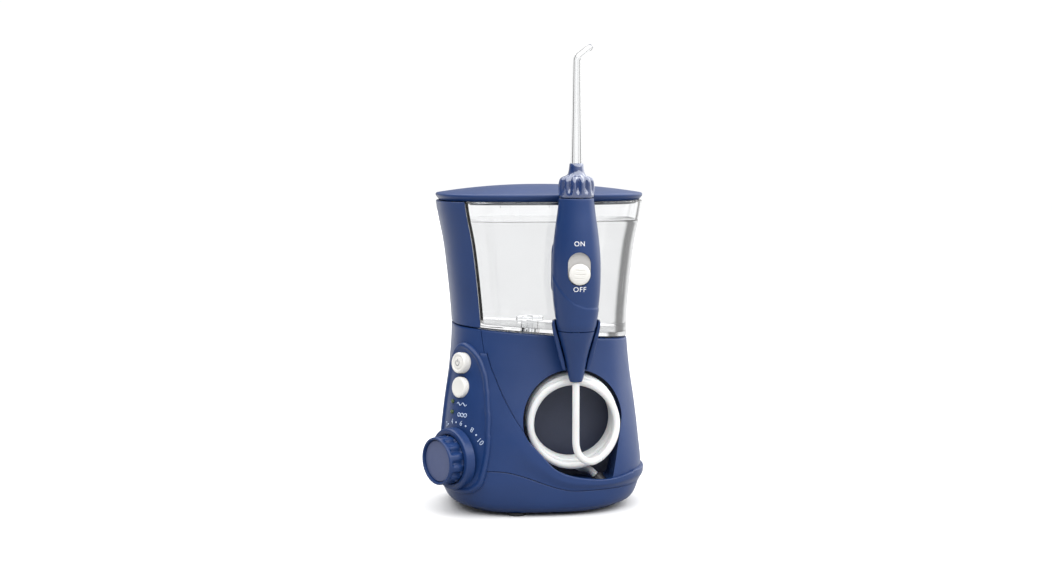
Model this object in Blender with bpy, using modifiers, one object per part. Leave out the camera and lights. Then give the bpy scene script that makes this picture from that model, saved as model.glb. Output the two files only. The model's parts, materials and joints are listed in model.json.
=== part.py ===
"""Countertop water flosser: base with pump, clear reservoir with lid, handle with hose.

Blender 4.5, metres, +Z up, front towards -Y. Lengths in the constants below are in millimetres
and are measured in the unit's own frame, whose origin is under the middle of the base.
"""

import math

import bmesh
import bpy
from mathutils import Matrix, Vector

MM = 0.001

# Shift that brings the middle of the whole object's box over the origin.
UNIT_SHIFT = (5.4, 9.6, 0.0)

# Body sections: height, half width, reach to the front, reach to the back.
SECTIONS = (
    (2.0, 46.0, 48.0, 38.0),
    (5.0, 52.5, 50.5, 41.5),
    (10.0, 56.0, 51.7, 43.5),
    (21.0, 58.8, 52.0, 44.5),
    (40.0, 57.3, 50.4, 43.8),
    (60.0, 55.0, 46.6, 42.6),
    (80.0, 52.2, 42.3, 41.6),
    (102.0, 50.6, 38.6, 41.0),
    (120.0, 51.6, 38.2, 41.2),
    (150.0, 54.9, 39.2, 42.0),
    (180.0, 59.6, 42.4, 43.4),
)
LEFT_FRONT_POWER = 3.0
RIGHT_FRONT_POWER = 2.5
BACK_POWER = 2.6
OUTLINE_STEPS = 36

GAP = 0.3
WALL = 2.2
# Room between the faceted skin and a piece that follows it.
SKIN_CLEARANCE = 1.0

# Seam between tray and housing: low at the right, rising to the left.
SEAM_LOW = 14.6
SEAM_RISE = 11.6
SEAM_FROM_X = 16.0
SEAM_RUN = 46.0
# Parting plane between housing and reservoir.
PARTING_Z = 101.4
PARTING_SLOPE = -0.085

TRAY_BOTTOM = 2.0
FOOT_RADIUS = 5.0
FEET = ((-18, -42), (34, -22), (-34, 27), (34, 27))
SCREWS = ((-30, -26), (38, -10), (-22, 31), (22, 31))

# Handle, hose and well share one vertical plane.
HANDLE_X = 14.0
HANDLE_Y = -53.0
HOSE_RADIUS = 2.0
COIL_Z = 51.0
COIL_OUTER = 26.3
COIL_FRONT_Y = -48.4
COIL_BACK_Y = -24.2
WELL_RADIUS = 29.0
WELL_Z = 53.0
WELL_BACK_Y = -22.2
WELL_FLOOR_Z = 18.5
WELL_LEFT_X = 6.4
WELL_RIGHT_X = 37.6
WELL_WALL = 1.4
# Face of the fitting in the well's floor, and the way the hose runs into it.
FITTING_FACE = (28.5, -34.5, 19.9)
FITTING_WAY = (0.65, -0.35, -0.67)

NOSE_Z = 76.4
TAIL_TOP_Z = 104.9
HANDLE_TOP_Z = 178.6
COLLAR_TOP_Z = 189.8
NECK_TOP_Z = 197.5
TIP_BEND_Z = 255.5

SWITCH_Z = 137.3
SWITCH_SLOT = (131.0, 149.4)
SWITCH_RADIUS = 5.9
EJECT_Z = 140.0
EJECT_AZIMUTH = 112.0

TANK_WALL = 2.0
TANK_TOP = 175.9
COLUMN_WIDTH = 13.5
LID_RIM_BOTTOM = 176.3
LID_TOP = 185.0
HINGE_Y = 46.4
HINGE_Z = 178.0
VALVE_X = -5.0
VALVE_Y = 10.0

# Control side: azimuths are measured from the front towards the left.
DIAL_AZIMUTH = 58.0
DIAL_TILT = -1.5
DIAL_Z = 31.6
DIAL_RADIUS = 13.5
BUTTON_AZIMUTH = 55.5
BUTTON_TILT = 6.0
BUTTON_RADIUS = 5.9
POWER_Z = 84.8
MODE_Z = 71.2
LAMP_HEIGHTS = (62.8, 57.0)
LAMP_SIDE = -6.5

# Pump train behind the well, all on axes along Y.
CRANK_X = 3.6
CRANK_Z = 58.0
CRANK_THROW = 2.0
GEAR_MODULE = 1.2
GEAR_TEETH = 32
PINION_TEETH = 8
GEAR_SPACING = 24.4
GEAR_FRONT_Y = -13.8
GEAR_BACK_Y = -8.8
ROD_Y = (-18.4, -15.2)
CYLINDER_Y = -16.8


# ---------------------------------------------------------------- scene and materials

def clear_scene():
    for obj in list(bpy.data.objects):
        bpy.data.objects.remove(obj)


def collection(name, hidden=False):
    made = bpy.data.collections.new(name)
    bpy.context.scene.collection.children.link(made)
    made.hide_render = hidden
    return made


def material(name, color, roughness, metallic=0.0, alpha=1.0):
    made = bpy.data.materials.new(name)
    made.use_nodes = True
    shader = made.node_tree.nodes["Principled BSDF"]
    shader.inputs["Base Color"].default_value = (*color, 1.0)
    shader.inputs["Roughness"].default_value = roughness
    shader.inputs["Metallic"].default_value = metallic
    shader.inputs["Alpha"].default_value = alpha
    made.diffuse_color = (*color, alpha)
    return made


# ---------------------------------------------------------------- the body's form

def hermite(low, high, slope_low, slope_high, s):
    return ((2 * s**3 - 3 * s**2 + 1) * low + (s**3 - 2 * s**2 + s) * slope_low
            + (3 * s**2 - 2 * s**3) * high + (s**3 - s**2) * slope_high)


def section(z):
    """Half width, front reach and back reach of the body at a height."""
    rows = SECTIONS
    z = min(max(z, rows[0][0]), rows[-1][0])
    i = max(k for k in range(len(rows) - 1) if rows[k][0] <= z)
    span = rows[i + 1][0] - rows[i][0]
    s = (z - rows[i][0]) / span

    def slope(k, column):
        if k in (0, len(rows) - 1):
            return 0.0
        rise = rows[k + 1][column] - rows[k - 1][column]
        return span * rise / (rows[k + 1][0] - rows[k - 1][0])

    return tuple(
        hermite(rows[i][c], rows[i + 1][c], slope(i, c), slope(i + 1, c), s) for c in (1, 2, 3)
    )


def outline_point(angle, z, inset=0.0):
    """A point of the body's outline: angle 0 is the right side, 270 degrees the front."""
    half, front, back = (side - inset for side in section(z))
    across, along = math.cos(angle), math.sin(angle)
    if along >= 0:
        power, reach = BACK_POWER, back
    else:
        power, reach = (RIGHT_FRONT_POWER if across > 0 else LEFT_FRONT_POWER), front
    x = half * math.copysign(abs(across) ** (2 / power), across)
    y = reach * math.copysign(abs(along) ** (2 / power), along)
    return x, y


def seam_z(x):
    s = min(max((SEAM_FROM_X - x) / SEAM_RUN, 0.0), 1.0)
    return SEAM_LOW + SEAM_RISE * s * s * (3 - 2 * s)


def parting_z(x):
    return PARTING_Z + PARTING_SLOPE * x


def level(height):
    return lambda x: height


def body_ring(low, high, s, inset=0.0, steps=OUTLINE_STEPS):
    """A ring of the body's skin, a fraction s of the way from the surface low to the surface high."""
    ring = []
    for k in range(steps):
        angle = 2 * math.pi * (k + 0.5) / steps
        z = (low(0) + high(0)) / 2
        for _ in range(3):
            x, y = outline_point(angle, z, inset)
            z = low(x) + (high(x) - low(x)) * s
        ring.append(Vector((x, y, z)))
    return ring


def column_edge(z):
    """Where the side column ends and the clear tank begins."""
    return -(section(z)[0] - COLUMN_WIDTH)


def tank_ring(low, high, s, inset=0.0):
    ring = []
    for point in body_ring(low, high, s, inset):
        edge = column_edge(point.z) + inset
        ring.append(Vector((max(point.x, edge), point.y, point.z)))
    return ring


def column_ring(low, high, s, inset=0.0, steps=14):
    """The side column's outline: the body's left side, closed by a straight inner wall."""
    z = low(-52) + (high(-52) - low(-52)) * s
    half, front, back = (side - inset for side in section(z))
    edge = -(column_edge(z) - GAP - inset)
    back_angle = math.acos((edge / half) ** (BACK_POWER / 2))
    front_angle = math.acos((edge / half) ** (LEFT_FRONT_POWER / 2))
    ring = []
    for k in range(steps + 1):
        angle = math.pi - back_angle + (back_angle + front_angle) * k / steps
        x, y = outline_point(angle, z, inset)
        ring.append(Vector((x, y, low(x) + (high(x) - low(x)) * s)))
    return ring


def outline_samples(z, count=360):
    points = [Vector((*outline_point(2 * math.pi * k / count, z), 0)) for k in range(count)]
    return points + points[:1]


def skin_at(side, z, out, azimuth=BUTTON_AZIMUTH):
    """The skin's point a length to the side of where it faces an azimuth, moved outwards."""
    points = outline_samples(z)
    facing = Vector((-math.sin(math.radians(azimuth)), -math.cos(math.radians(azimuth)), 0))
    at = max(range(len(points) - 1), key=lambda k: points[k].dot(facing))
    turn = 1 if side >= 0 else -1
    left = abs(side)
    while True:
        here, there = points[at % 360], points[(at + turn) % 360]
        step = (there - here).length
        if left <= step:
            break
        left -= step
        at += turn
    point = here.lerp(there, left / step)
    along = (there - here).normalized() * turn
    normal = Vector((along.y, -along.x, 0))
    return Vector((point.x, point.y, z)) + normal * out


def facing_axis(azimuth, tilt):
    a, t = math.radians(azimuth), math.radians(tilt)
    return Vector((-math.sin(a) * math.cos(t), -math.cos(a) * math.cos(t), math.sin(t)))


# ---------------------------------------------------------------- making objects

class Maker:
    """Puts finished objects into the collection, under the empty of their moving body."""

    def __init__(self, parts, cutters):
        self.parts = parts
        self.cutters = cutters
        self.empties = {}
        self.unit = self.empty("unit", Vector(), None)

    def empty(self, name, location, parent):
        made = bpy.data.objects.new(name, None)
        made.empty_display_size = 0.01
        self.parts.objects.link(made)
        made.parent = parent
        made.location = (Vector(location) if parent else Vector(UNIT_SHIFT)) * MM
        self.empties[name] = made
        return made

    def body(self, name, joint):
        return self.empty(name + "_joint", joint, self.unit)

    def part(self, obj, look, body="unit", sharp=35.0):
        """Names an object's place in the tree, gives it its material and shades it."""
        self.adopt(obj, self.parts)
        parent = self.unit if body == "unit" else self.empties[body + "_joint"]
        obj.parent = parent
        if parent is not self.unit:
            obj.matrix_parent_inverse = Matrix.Translation(-parent.location)
        obj.data.materials.clear()
        obj.data.materials.append(look)
        if obj.type == "MESH":
            obj.data.shade_smooth()
            obj.data.set_sharp_from_angle(angle=math.radians(sharp))
        return obj

    def cutter(self, obj):
        self.adopt(obj, self.cutters)
        obj.parent = self.unit
        obj.hide_render = True
        obj.display_type = "WIRE"
        return obj

    @staticmethod
    def adopt(obj, home):
        for old in list(obj.users_collection):
            old.objects.unlink(obj)
        home.objects.link(obj)


def mesh_object(name, shape):
    mesh = bpy.data.meshes.new(name)
    shape.to_mesh(mesh)
    shape.free()
    made = bpy.data.objects.new(name, mesh)
    bpy.context.scene.collection.objects.link(made)
    return made


def loft(name, rings, close_first=True, close_last=True, loop=True):
    """A skin over rings of equally many points, given in millimetres."""
    shape = bmesh.new()
    rows = [[shape.verts.new(point * MM) for point in ring] for ring in rings]
    count = len(rings[0])
    for lower, upper in zip(rows, rows[1:]):
        for k in range(count if loop else count - 1):
            after = (k + 1) % count
            shape.faces.new((lower[k], lower[after], upper[after], upper[k]))
    if close_first:
        shape.faces.new(list(reversed(rows[0])))
    if close_last:
        shape.faces.new(rows[-1])
    bmesh.ops.recalc_face_normals(shape, faces=shape.faces)
    return mesh_object(name, shape)


def aim(obj, place, axis):
    """Stands an object's own Z axis along an axis at a place given in millimetres."""
    obj.rotation_euler = Vector(axis).to_track_quat("Z", "Y").to_euler()
    obj.location = Vector(place) * MM
    return obj


def turned(name, profile, place, axis=(0, 0, 1), steps=20):
    """A turned solid: the profile of (radius, height) runs down the outside, and closes on
    itself where it never meets the axis."""
    shape = bmesh.new()
    points = [shape.verts.new((radius * MM, 0, height * MM)) for radius, height in profile]
    for here, there in zip(points, points[1:]):
        shape.edges.new((here, there))
    if profile[0][0] > 0:
        shape.edges.new((points[-1], points[0]))
    made = mesh_object(name, shape)
    screw = made.modifiers.new("Screw", "SCREW")
    screw.steps = steps
    screw.render_steps = steps
    screw.use_merge_vertices = True
    screw.merge_threshold = 0.00001
    screw.use_smooth_shade = True
    return aim(made, place, axis)


def cylinder(name, radius, low, high, place, axis=(0, 0, 1), steps=16):
    return turned(name, ((0, high), (radius, high), (radius, low), (0, low)), place, axis, steps)


def tube_of(name, inner, outer, low, high, place, axis=(0, 0, 1), steps=20):
    ring = ((inner, high), (outer, high), (outer, low), (inner, low))
    return turned(name, ring, place, axis, steps)


def box(name, low, high, round_by=0.0):
    shape = bmesh.new()
    bmesh.ops.create_cube(shape, size=1.0)
    size = Vector(high) - Vector(low)
    bmesh.ops.scale(shape, vec=size * MM, verts=shape.verts)
    made = mesh_object(name, shape)
    made.location = (Vector(low) + size / 2) * MM
    if round_by:
        bevel = made.modifiers.new("Bevel", "BEVEL")
        bevel.width = round_by * MM
        bevel.segments = 2
    return made


def prism(name, outline, thickness):
    """A flat outline in the object's XZ plane, as thick as given along Y."""
    curve = bpy.data.curves.new(name, "CURVE")
    curve.dimensions = "2D"
    curve.fill_mode = "BOTH"
    curve.extrude = thickness / 2 * MM
    spline = curve.splines.new("POLY")
    spline.points.add(len(outline) - 1)
    for point, (x, z) in zip(spline.points, outline):
        point.co = (x * MM, z * MM, 0, 1)
    spline.use_cyclic_u = True
    made = bpy.data.objects.new(name, curve)
    made.rotation_euler = (math.pi / 2, 0, 0)
    bpy.context.scene.collection.objects.link(made)
    return made


def tube(name, points, radius, radii=None):
    curve = bpy.data.curves.new(name, "CURVE")
    curve.dimensions = "3D"
    curve.bevel_depth = radius * MM
    curve.bevel_resolution = 2
    curve.use_fill_caps = True
    spline = curve.splines.new("POLY")
    spline.points.add(len(points) - 1)
    for k, (point, co) in enumerate(zip(spline.points, points)):
        point.co = (*(Vector(co) * MM), 1)
        point.radius = radii[k] / radius if radii else 1.0
    made = bpy.data.objects.new(name, curve)
    bpy.context.scene.collection.objects.link(made)
    return made


def solid_mesh(obj):
    """The object as one plain mesh, with a curve's loose caps welded on."""
    bpy.context.view_layer.update()
    graph = bpy.context.evaluated_depsgraph_get()
    mesh = bpy.data.meshes.new_from_object(obj.evaluated_get(graph))
    shape = bmesh.new()
    shape.from_mesh(mesh)
    bmesh.ops.remove_doubles(shape, verts=shape.verts, dist=0.000001)
    bmesh.ops.recalc_face_normals(shape, faces=shape.faces)
    shape.to_mesh(mesh)
    shape.free()
    made = bpy.data.objects.new(obj.name, mesh)
    made.matrix_world = obj.matrix_world.copy()
    bpy.context.scene.collection.objects.link(made)
    name = obj.name
    bpy.data.objects.remove(obj)
    made.name = name
    return made


def smooth_route(points, spacing):
    """Points at an even spacing along one smooth curve through the route's own points."""
    route = [Vector(point) for point in points]
    route = [2 * route[0] - route[1]] + route + [2 * route[-1] - route[-2]]
    fine = []
    for a, b, c, d in zip(route, route[1:], route[2:], route[3:]):
        for k in range(20):
            s = k / 20
            fine.append(0.5 * (2 * b + (c - a) * s + (2 * a - 5 * b + 4 * c - d) * s**2
                               + (3 * b - a - 3 * c + d) * s**3))
    fine.append(route[-2])
    length = sum((there - here).length for here, there in zip(fine, fine[1:]))
    count = max(2, round(length / spacing))
    even, walked, goal = [fine[0]], 0.0, length / count
    for here, there in zip(fine, fine[1:]):
        step = (there - here).length
        while walked + step >= goal * len(even) and len(even) < count:
            even.append(here.lerp(there, (goal * len(even) - walked) / step))
        walked += step
    return even + [fine[-1]]


def combine(obj, other, operation):
    change = obj.modifiers.new(operation.title(), "BOOLEAN")
    change.operation = operation
    change.solver = "EXACT"
    change.object = other
    return obj


def thicken(obj, thickness, offset=-1.0):
    shell = obj.modifiers.new("Solidify", "SOLIDIFY")
    shell.thickness = thickness * MM
    shell.offset = offset
    shell.use_even_offset = True
    return obj


# ---------------------------------------------------------------- base

def body_block(name, inset, low=TRAY_BOTTOM + 0.5, high=179.0):
    """The whole body's form as one block, grown or shrunk, which other pieces are trimmed by."""
    fractions = [(k / 14) ** 1.7 for k in range(15)]
    return loft(name, [body_ring(level(low), level(high), s, inset) for s in fractions])


def well_block(name, radius, left, right, floor, front, back):
    """The hose well's form: a round pocket with a square corner down at the right."""
    half = (front + back) / 2
    round_part = cylinder(name, radius, -(back - front) / 2, (back - front) / 2,
                          (HANDLE_X, half, WELL_Z), (0, -1, 0), 32)
    corner = box(name + "_corner", (left, front, floor), (right, back, WELL_Z))
    return round_part, corner


def stem_cutter(make, name, radius, height, azimuth, tilt, reach=14.0, side=0.0):
    place = skin_at(side, height, 0.0)
    return make.cutter(cylinder(name, radius, -reach, reach, place, facing_axis(azimuth, tilt)))


def base_tray(make, look):
    top = lambda x: seam_z(x) - GAP / 2
    outside = [body_ring(level(TRAY_BOTTOM), top, s) for s in (0.0, 0.12, 0.28, 0.55, 1.0)]
    inside = [body_ring(level(TRAY_BOTTOM + WALL), top, s, WALL) for s in (1.0, 0.4, 0.15, 0.0)]
    tray = loft("base_tray", outside + inside)
    for k, (x, y) in enumerate(SCREWS):
        hole = make.cutter(cylinder(f"screw_hole_{k + 1}", 3.4, -5, 10, (x, y, 0)))
        combine(tray, hole, "DIFFERENCE")
    inlet = make.cutter(cylinder("inlet_hole", 4.3, -8, 8, (-26, 42, 15), (0, 1, 0)))
    combine(tray, inlet, "DIFFERENCE")
    make.part(tray, look)


def base_housing(make, look, well_cutters, stems):
    low = lambda x: seam_z(x) + GAP / 2
    high = lambda x: parting_z(x) - GAP
    ceiling = lambda x: high(x) - WALL
    shares = [k / 6 for k in range(7)]
    outside = [body_ring(low, high, s) for s in reversed(shares)]
    inside = [body_ring(low, ceiling, s, WALL) for s in shares]
    housing = loft("base_housing", outside + inside)
    for cutter in (*well_cutters, *stems):
        combine(housing, cutter, "DIFFERENCE")
    deck_hole = make.cutter(cylinder("deck_hole", 9.0, 85, 115, (VALVE_X, VALVE_Y, 0)))
    combine(housing, deck_hole, "DIFFERENCE")
    make.part(housing, look)


def hose_well(make, look, inner_cutters):
    """Cup behind the round opening, trimmed to stay inside the housing's skin."""
    out = WELL_RADIUS + WELL_WALL
    well, corner = well_block("hose_well", out, WELL_LEFT_X - WELL_WALL, WELL_RIGHT_X + WELL_WALL,
                              WELL_FLOOR_Z - WELL_WALL, -70.0, WELL_BACK_Y + WELL_WALL)
    combine(well, make.cutter(corner), "UNION")
    for cutter in inner_cutters:
        combine(well, cutter, "DIFFERENCE")
    inside = make.cutter(body_block("inside_of_skin", WALL + SKIN_CLEARANCE))
    combine(well, inside, "INTERSECT")
    hole = make.cutter(cylinder("fitting_hole", 3.4, -7, 3, FITTING_FACE, -Vector(FITTING_WAY)))
    combine(well, hole, "DIFFERENCE")
    make.part(well, look)


def handle_cradle(make, look):
    """Half funnel on the housing's front that the handle's tail stands in."""
    outside = ((0, 111.5), (12.8, 111.5), (13.5, 110.5), (13.3, 106.5), (12.2, 101.0), (8.9, 88.0),
               (7.2, 83.0), (0, 82.6))
    inside = ((0, 112.5), (12.5, 112.5), (11.5, 106.0), (9.6, 99.5), (6.6, 88.0), (5.8, 81.6), (0, 81.6))
    place = (HANDLE_X, HANDLE_Y, 0)
    funnel = turned("handle_cradle", outside, place, steps=24)
    web = make.cutter(box("cradle_web", (HANDLE_X - 6, HANDLE_Y + 6.5, 84.5), (HANDLE_X + 6, -30, 100)))
    combine(funnel, web, "UNION")
    combine(funnel, make.cutter(turned("tail_room", inside, place, steps=24)), "DIFFERENCE")
    opening = make.cutter(box("cradle_opening", (HANDLE_X - 20, HANDLE_Y - 20, 70),
                              (HANDLE_X + 20, HANDLE_Y - 1.5, 120)))
    combine(funnel, opening, "DIFFERENCE")
    combine(funnel, make.cutter(body_block("outside_of_skin", -SKIN_CLEARANCE)), "DIFFERENCE")
    make.part(funnel, look)


def control_panel(make, look, stems):
    """Teardrop patch that lies on the skin of the left front."""
    rows = ((12.5, 7), (15, 14), (20, 19), (32, 21.5), (48, 21.5), (63, 20), (78, 17),
            (89, 12), (95.5, 4))
    steps = 6
    grid = [[skin_at(half * (2 * k / steps - 1), z, 0.7) for k in range(steps + 1)]
            for z, half in rows]
    panel = thicken(loft("control_panel", grid, False, False, loop=False), 1.5, 1.0)
    for stem in stems:
        combine(panel, stem, "DIFFERENCE")
    make.part(panel, look)


def dial_place():
    return skin_at(0, DIAL_Z, 0, DIAL_AZIMUTH), facing_axis(DIAL_AZIMUTH, DIAL_TILT)


def control_pieces(make, looks):
    place, axis = dial_place()
    bezel = turned("dial_bezel", ((14.0, 4.0), (14.6, 4.6), (16.6, 4.6), (17.4, 3.6), (17.4, -6),
                                  (14.0, -6)), place, axis, 28)
    combine(bezel, bpy.data.objects["outside_of_skin"], "DIFFERENCE")
    make.part(bezel, looks["navy"])

    make.part(turned("pressure_dial", (
        (12.4, 13.5), (13.1, 13.5), (DIAL_RADIUS, 13.0), (DIAL_RADIUS, 3.0), (3.3, 3.0), (3.3, 8.0),
        (3.0, 9.8), (12.4, 9.8)), place, axis, 24), looks["navy"], "dial")
    make.part(cylinder("dial_cap", 12.0, 10.1, 11.2, place, axis, 24), looks["dial_face"], "dial")
    make.part(cylinder("valve_spindle", 2.6, -12.0, 7.7, place, axis, 16), looks["nylon"], "dial")
    valve = turned("control_valve", ((3.0, -5.5), (8.0, -5.5), (8.0, -19.0), (0, -19.0), (0, -13.0),
                                     (3.0, -13.0)), place, axis, 20)
    make.part(valve, looks["acetal"])

    buttons = (("power_button", POWER_Z, "power", 4.9), ("mode_button", MODE_Z, "mode", 3.2))
    for name, z, body, front in buttons:
        place = skin_at(0, z, 0)
        axis = facing_axis(BUTTON_AZIMUTH, BUTTON_TILT)
        button = turned(name, ((0, front), (BUTTON_RADIUS - 0.8, front), (BUTTON_RADIUS, front - 0.8),
                               (BUTTON_RADIUS, -1.0), (2.0, -1.0), (2.0, -6.5), (0, -6.5)), place, axis, 18)
        make.part(button, looks["white"], body)

    for k, z in enumerate(LAMP_HEIGHTS):
        place = skin_at(LAMP_SIDE, z, 0)
        lamp = cylinder(f"indicator_lens_{k + 1}", 1.1, -3.0, 2.1, place,
                        facing_axis(BUTTON_AZIMUTH + 5, BUTTON_TILT), 12)
        make.part(lamp, looks["lens"])

    middle = skin_at(0, 82, 0) - facing_axis(BUTTON_AZIMUTH, BUTTON_TILT) * 9.8
    board = box("circuit_board", (-10, -14, -0.8), (10, 14, 0.8))
    board.location = middle * MM
    board.rotation_euler = facing_axis(BUTTON_AZIMUTH, BUTTON_TILT).to_track_quat("Z", "Y").to_euler()
    make.part(board, looks["board"])


def underside(make, looks):
    for k, (x, y) in enumerate(FEET):
        foot = turned(f"foot_{k + 1}", ((0, 1.7), (FOOT_RADIUS, 1.7), (FOOT_RADIUS, 0.5),
                                        (FOOT_RADIUS - 0.5, 0), (0, 0)), (x, y, 0), steps=14)
        make.part(foot, looks["rubber"])
    for k, (x, y) in enumerate(SCREWS):
        screw = turned(f"screw_{k + 1}", ((0, 15), (1.5, 15), (1.5, 4.2), (3.0, 4.2), (3.0, 2.2), (0, 2.2)),
                       (x, y, 0), steps=10)
        make.part(screw, looks["steel"])
    inlet = turned("cord_inlet", ((2.3, 3.6), (3.6, 3.6), (4.0, 3.2), (4.0, -3.0), (2.3, -3.0)),
                   (-26, 41.5, 15), (0, 1, 0), 16)
    make.part(inlet, looks["rubber"])


# ---------------------------------------------------------------- pump train

def gear_outline(teeth, module, turn):
    """Straight-sided teeth with clearance, as points round the gear."""
    pitch = teeth * module / 2
    root, tip = pitch - 1.3 * module, pitch + 0.85 * module
    outline = []
    for tooth in range(teeth):
        middle = turn + 2 * math.pi * tooth / teeth
        step = 2 * math.pi / teeth
        for share, radius in ((-0.31, root), (-0.11, tip), (0.11, tip), (0.31, root)):
            angle = middle + share * step
            outline.append((radius * math.cos(angle), radius * math.sin(angle)))
    return outline


def gear(name, teeth, turn, place, thickness):
    wheel = prism(name, gear_outline(teeth, GEAR_MODULE, turn), thickness)
    wheel.location = Vector(place) * MM
    return solid_mesh(wheel)


def pump_train(make, looks):
    pinion_x = CRANK_X + GEAR_SPACING
    middle_y = (GEAR_FRONT_Y + GEAR_BACK_Y) / 2
    wheel = gear("reduction_gear", GEAR_TEETH, 0.0, (CRANK_X, middle_y, CRANK_Z),
                 GEAR_BACK_Y - GEAR_FRONT_Y)
    crank = make.cutter(cylinder("crank_pin", 2.0, -0.5, 4.6, (CRANK_X, GEAR_FRONT_Y, CRANK_Z + CRANK_THROW),
                                 (0, -1, 0), 16))
    axle = make.cutter(cylinder("gear_axle", 2.0, -0.5, 7.0, (CRANK_X, GEAR_BACK_Y, CRANK_Z), (0, 1, 0), 16))
    combine(combine(wheel, crank, "UNION"), axle, "UNION")
    make.part(wheel, looks["nylon"], "gear")

    half_tooth = math.pi / PINION_TEETH
    pinion = gear("motor_pinion", PINION_TEETH, half_tooth, (pinion_x, middle_y, CRANK_Z),
                  GEAR_BACK_Y - GEAR_FRONT_Y - 0.4)
    shaft = make.cutter(cylinder("pinion_shaft", 1.5, -0.5, 8.0, (pinion_x, GEAR_BACK_Y - 0.2, CRANK_Z),
                                 (0, 1, 0), 12))
    combine(pinion, shaft, "UNION")
    make.part(pinion, looks["steel"], "pinion")

    bracket = box("motor_bracket", (CRANK_X - 14, -6.4, 5.0), (pinion_x + 15, -4.4, 80))
    holes = (("axle_bore", 2.4, CRANK_X), ("shaft_bore", 5.0, pinion_x))
    for name, radius, x in holes:
        bore = make.cutter(cylinder(name, radius, -5, 5, (x, -5.4, CRANK_Z), (0, 1, 0)))
        combine(bracket, bore, "DIFFERENCE")
    make.part(bracket, looks["steel"])

    motor = turned("motor", ((2.0, 1.5), (4.6, 1.5), (4.6, -1.5), (13.8, -1.5), (13.8, -28.0), (5.0, -28.0),
                             (5.0, -30.0), (2.0, -30.0)),
                   (pinion_x, -5.4 + 2.8, CRANK_Z), (0, -1, 0), 18)
    make.part(motor, looks["steel"])

    rod_middle = (ROD_Y[0] + ROD_Y[1]) / 2
    rod = tube_of("connecting_rod", 6.7, 9.2, ROD_Y[0] - rod_middle, ROD_Y[1] - rod_middle,
                  (CRANK_X, rod_middle, CRANK_Z), (0, 1, 0), 20)
    bar = make.cutter(box("rod_bar", (-22.3, ROD_Y[0], CRANK_Z - 2.2),
                          (CRANK_X - 7.5, ROD_Y[1], CRANK_Z + 2.2)))
    combine(rod, bar, "UNION")
    make.part(rod, looks["acetal"], "piston")
    piston = turned("pump_piston", ((0, 4.5), (5.2, 4.5), (5.2, 2.2), (4.2, 2.2), (4.2, -2.2), (5.2, -2.2),
                                    (5.2, -4.5), (0, -4.5)), (-27.2, CYLINDER_Y, CRANK_Z), (1, 0, 0), 16)
    make.part(piston, looks["acetal"], "piston")
    seal = tube_of("piston_seal", 4.5, 5.6, -1.9, 1.9, (-27.2, CYLINDER_Y, CRANK_Z), (1, 0, 0), 16)
    make.part(seal, looks["rubber"], "piston")

    pump = turned("pump_body", ((5.9, 19.0), (8.4, 19.0), (8.4, -2.5), (0, -2.5), (0, -0.5), (5.9, -0.5)),
                  (-38.0, CYLINDER_Y, CRANK_Z), (1, 0, 0), 18)
    leg = make.cutter(box("pump_leg", (-25, CYLINDER_Y - 1, 5.0), (-20, CYLINDER_Y + 7, CRANK_Z - 6.5)))
    combine(pump, leg, "UNION")
    make.part(pump, looks["acetal"])

    make.part(tube("inlet_tube", smooth_route((
        (-33, CYLINDER_Y, CRANK_Z + 8.8), (-33, CYLINDER_Y + 1, CRANK_Z + 14), (-30, -6, CRANK_Z + 19),
        (-20, 4, CRANK_Z + 21), (-9, 9, CRANK_Z + 23), (VALVE_X, VALVE_Y, CRANK_Z + 27),
        (VALVE_X, VALVE_Y, CRANK_Z + 29.8)), 5.0), 2.5), looks["silicone"])
    place, axis = dial_place()
    start = place - axis * 20.2
    way = Vector(FITTING_WAY).normalized()
    end = Vector(FITTING_FACE) + way * 7.6
    make.part(tube("valve_tube", smooth_route((
        start, start - axis * 4 + Vector((0, 0, -1.5)), (-26, -20, 22), (-15, -24, 13), (0, -27, 9.5),
        (16, -29, 7.2), (29, -34.0, 7.2), end + way * 3.4, end), 5.0), 2.0), looks["silicone"])
    make.part(turned("hose_fitting", ((0, 0), (2.6, 0), (3.0, -0.6), (3.0, -6.8), (0, -6.8)), FITTING_FACE,
                     -way, 14), looks["acetal"])
    seat = turned("inlet_seat", ((6.6, 100.3), (8.6, 100.3), (8.6, 92.0), (3.0, 92.0), (3.0, 88.4),
                                 (1.6, 88.4), (1.6, 94.0), (6.6, 94.0)), (VALVE_X, VALVE_Y, 0), steps=18)
    make.part(seat, looks["navy"])
    make.part(tube_of("inlet_seal", 5.2, 6.3, 94.3, 96.0, (VALVE_X, VALVE_Y, 0)), looks["rubber"])


# ---------------------------------------------------------------- reservoir and lid

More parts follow.
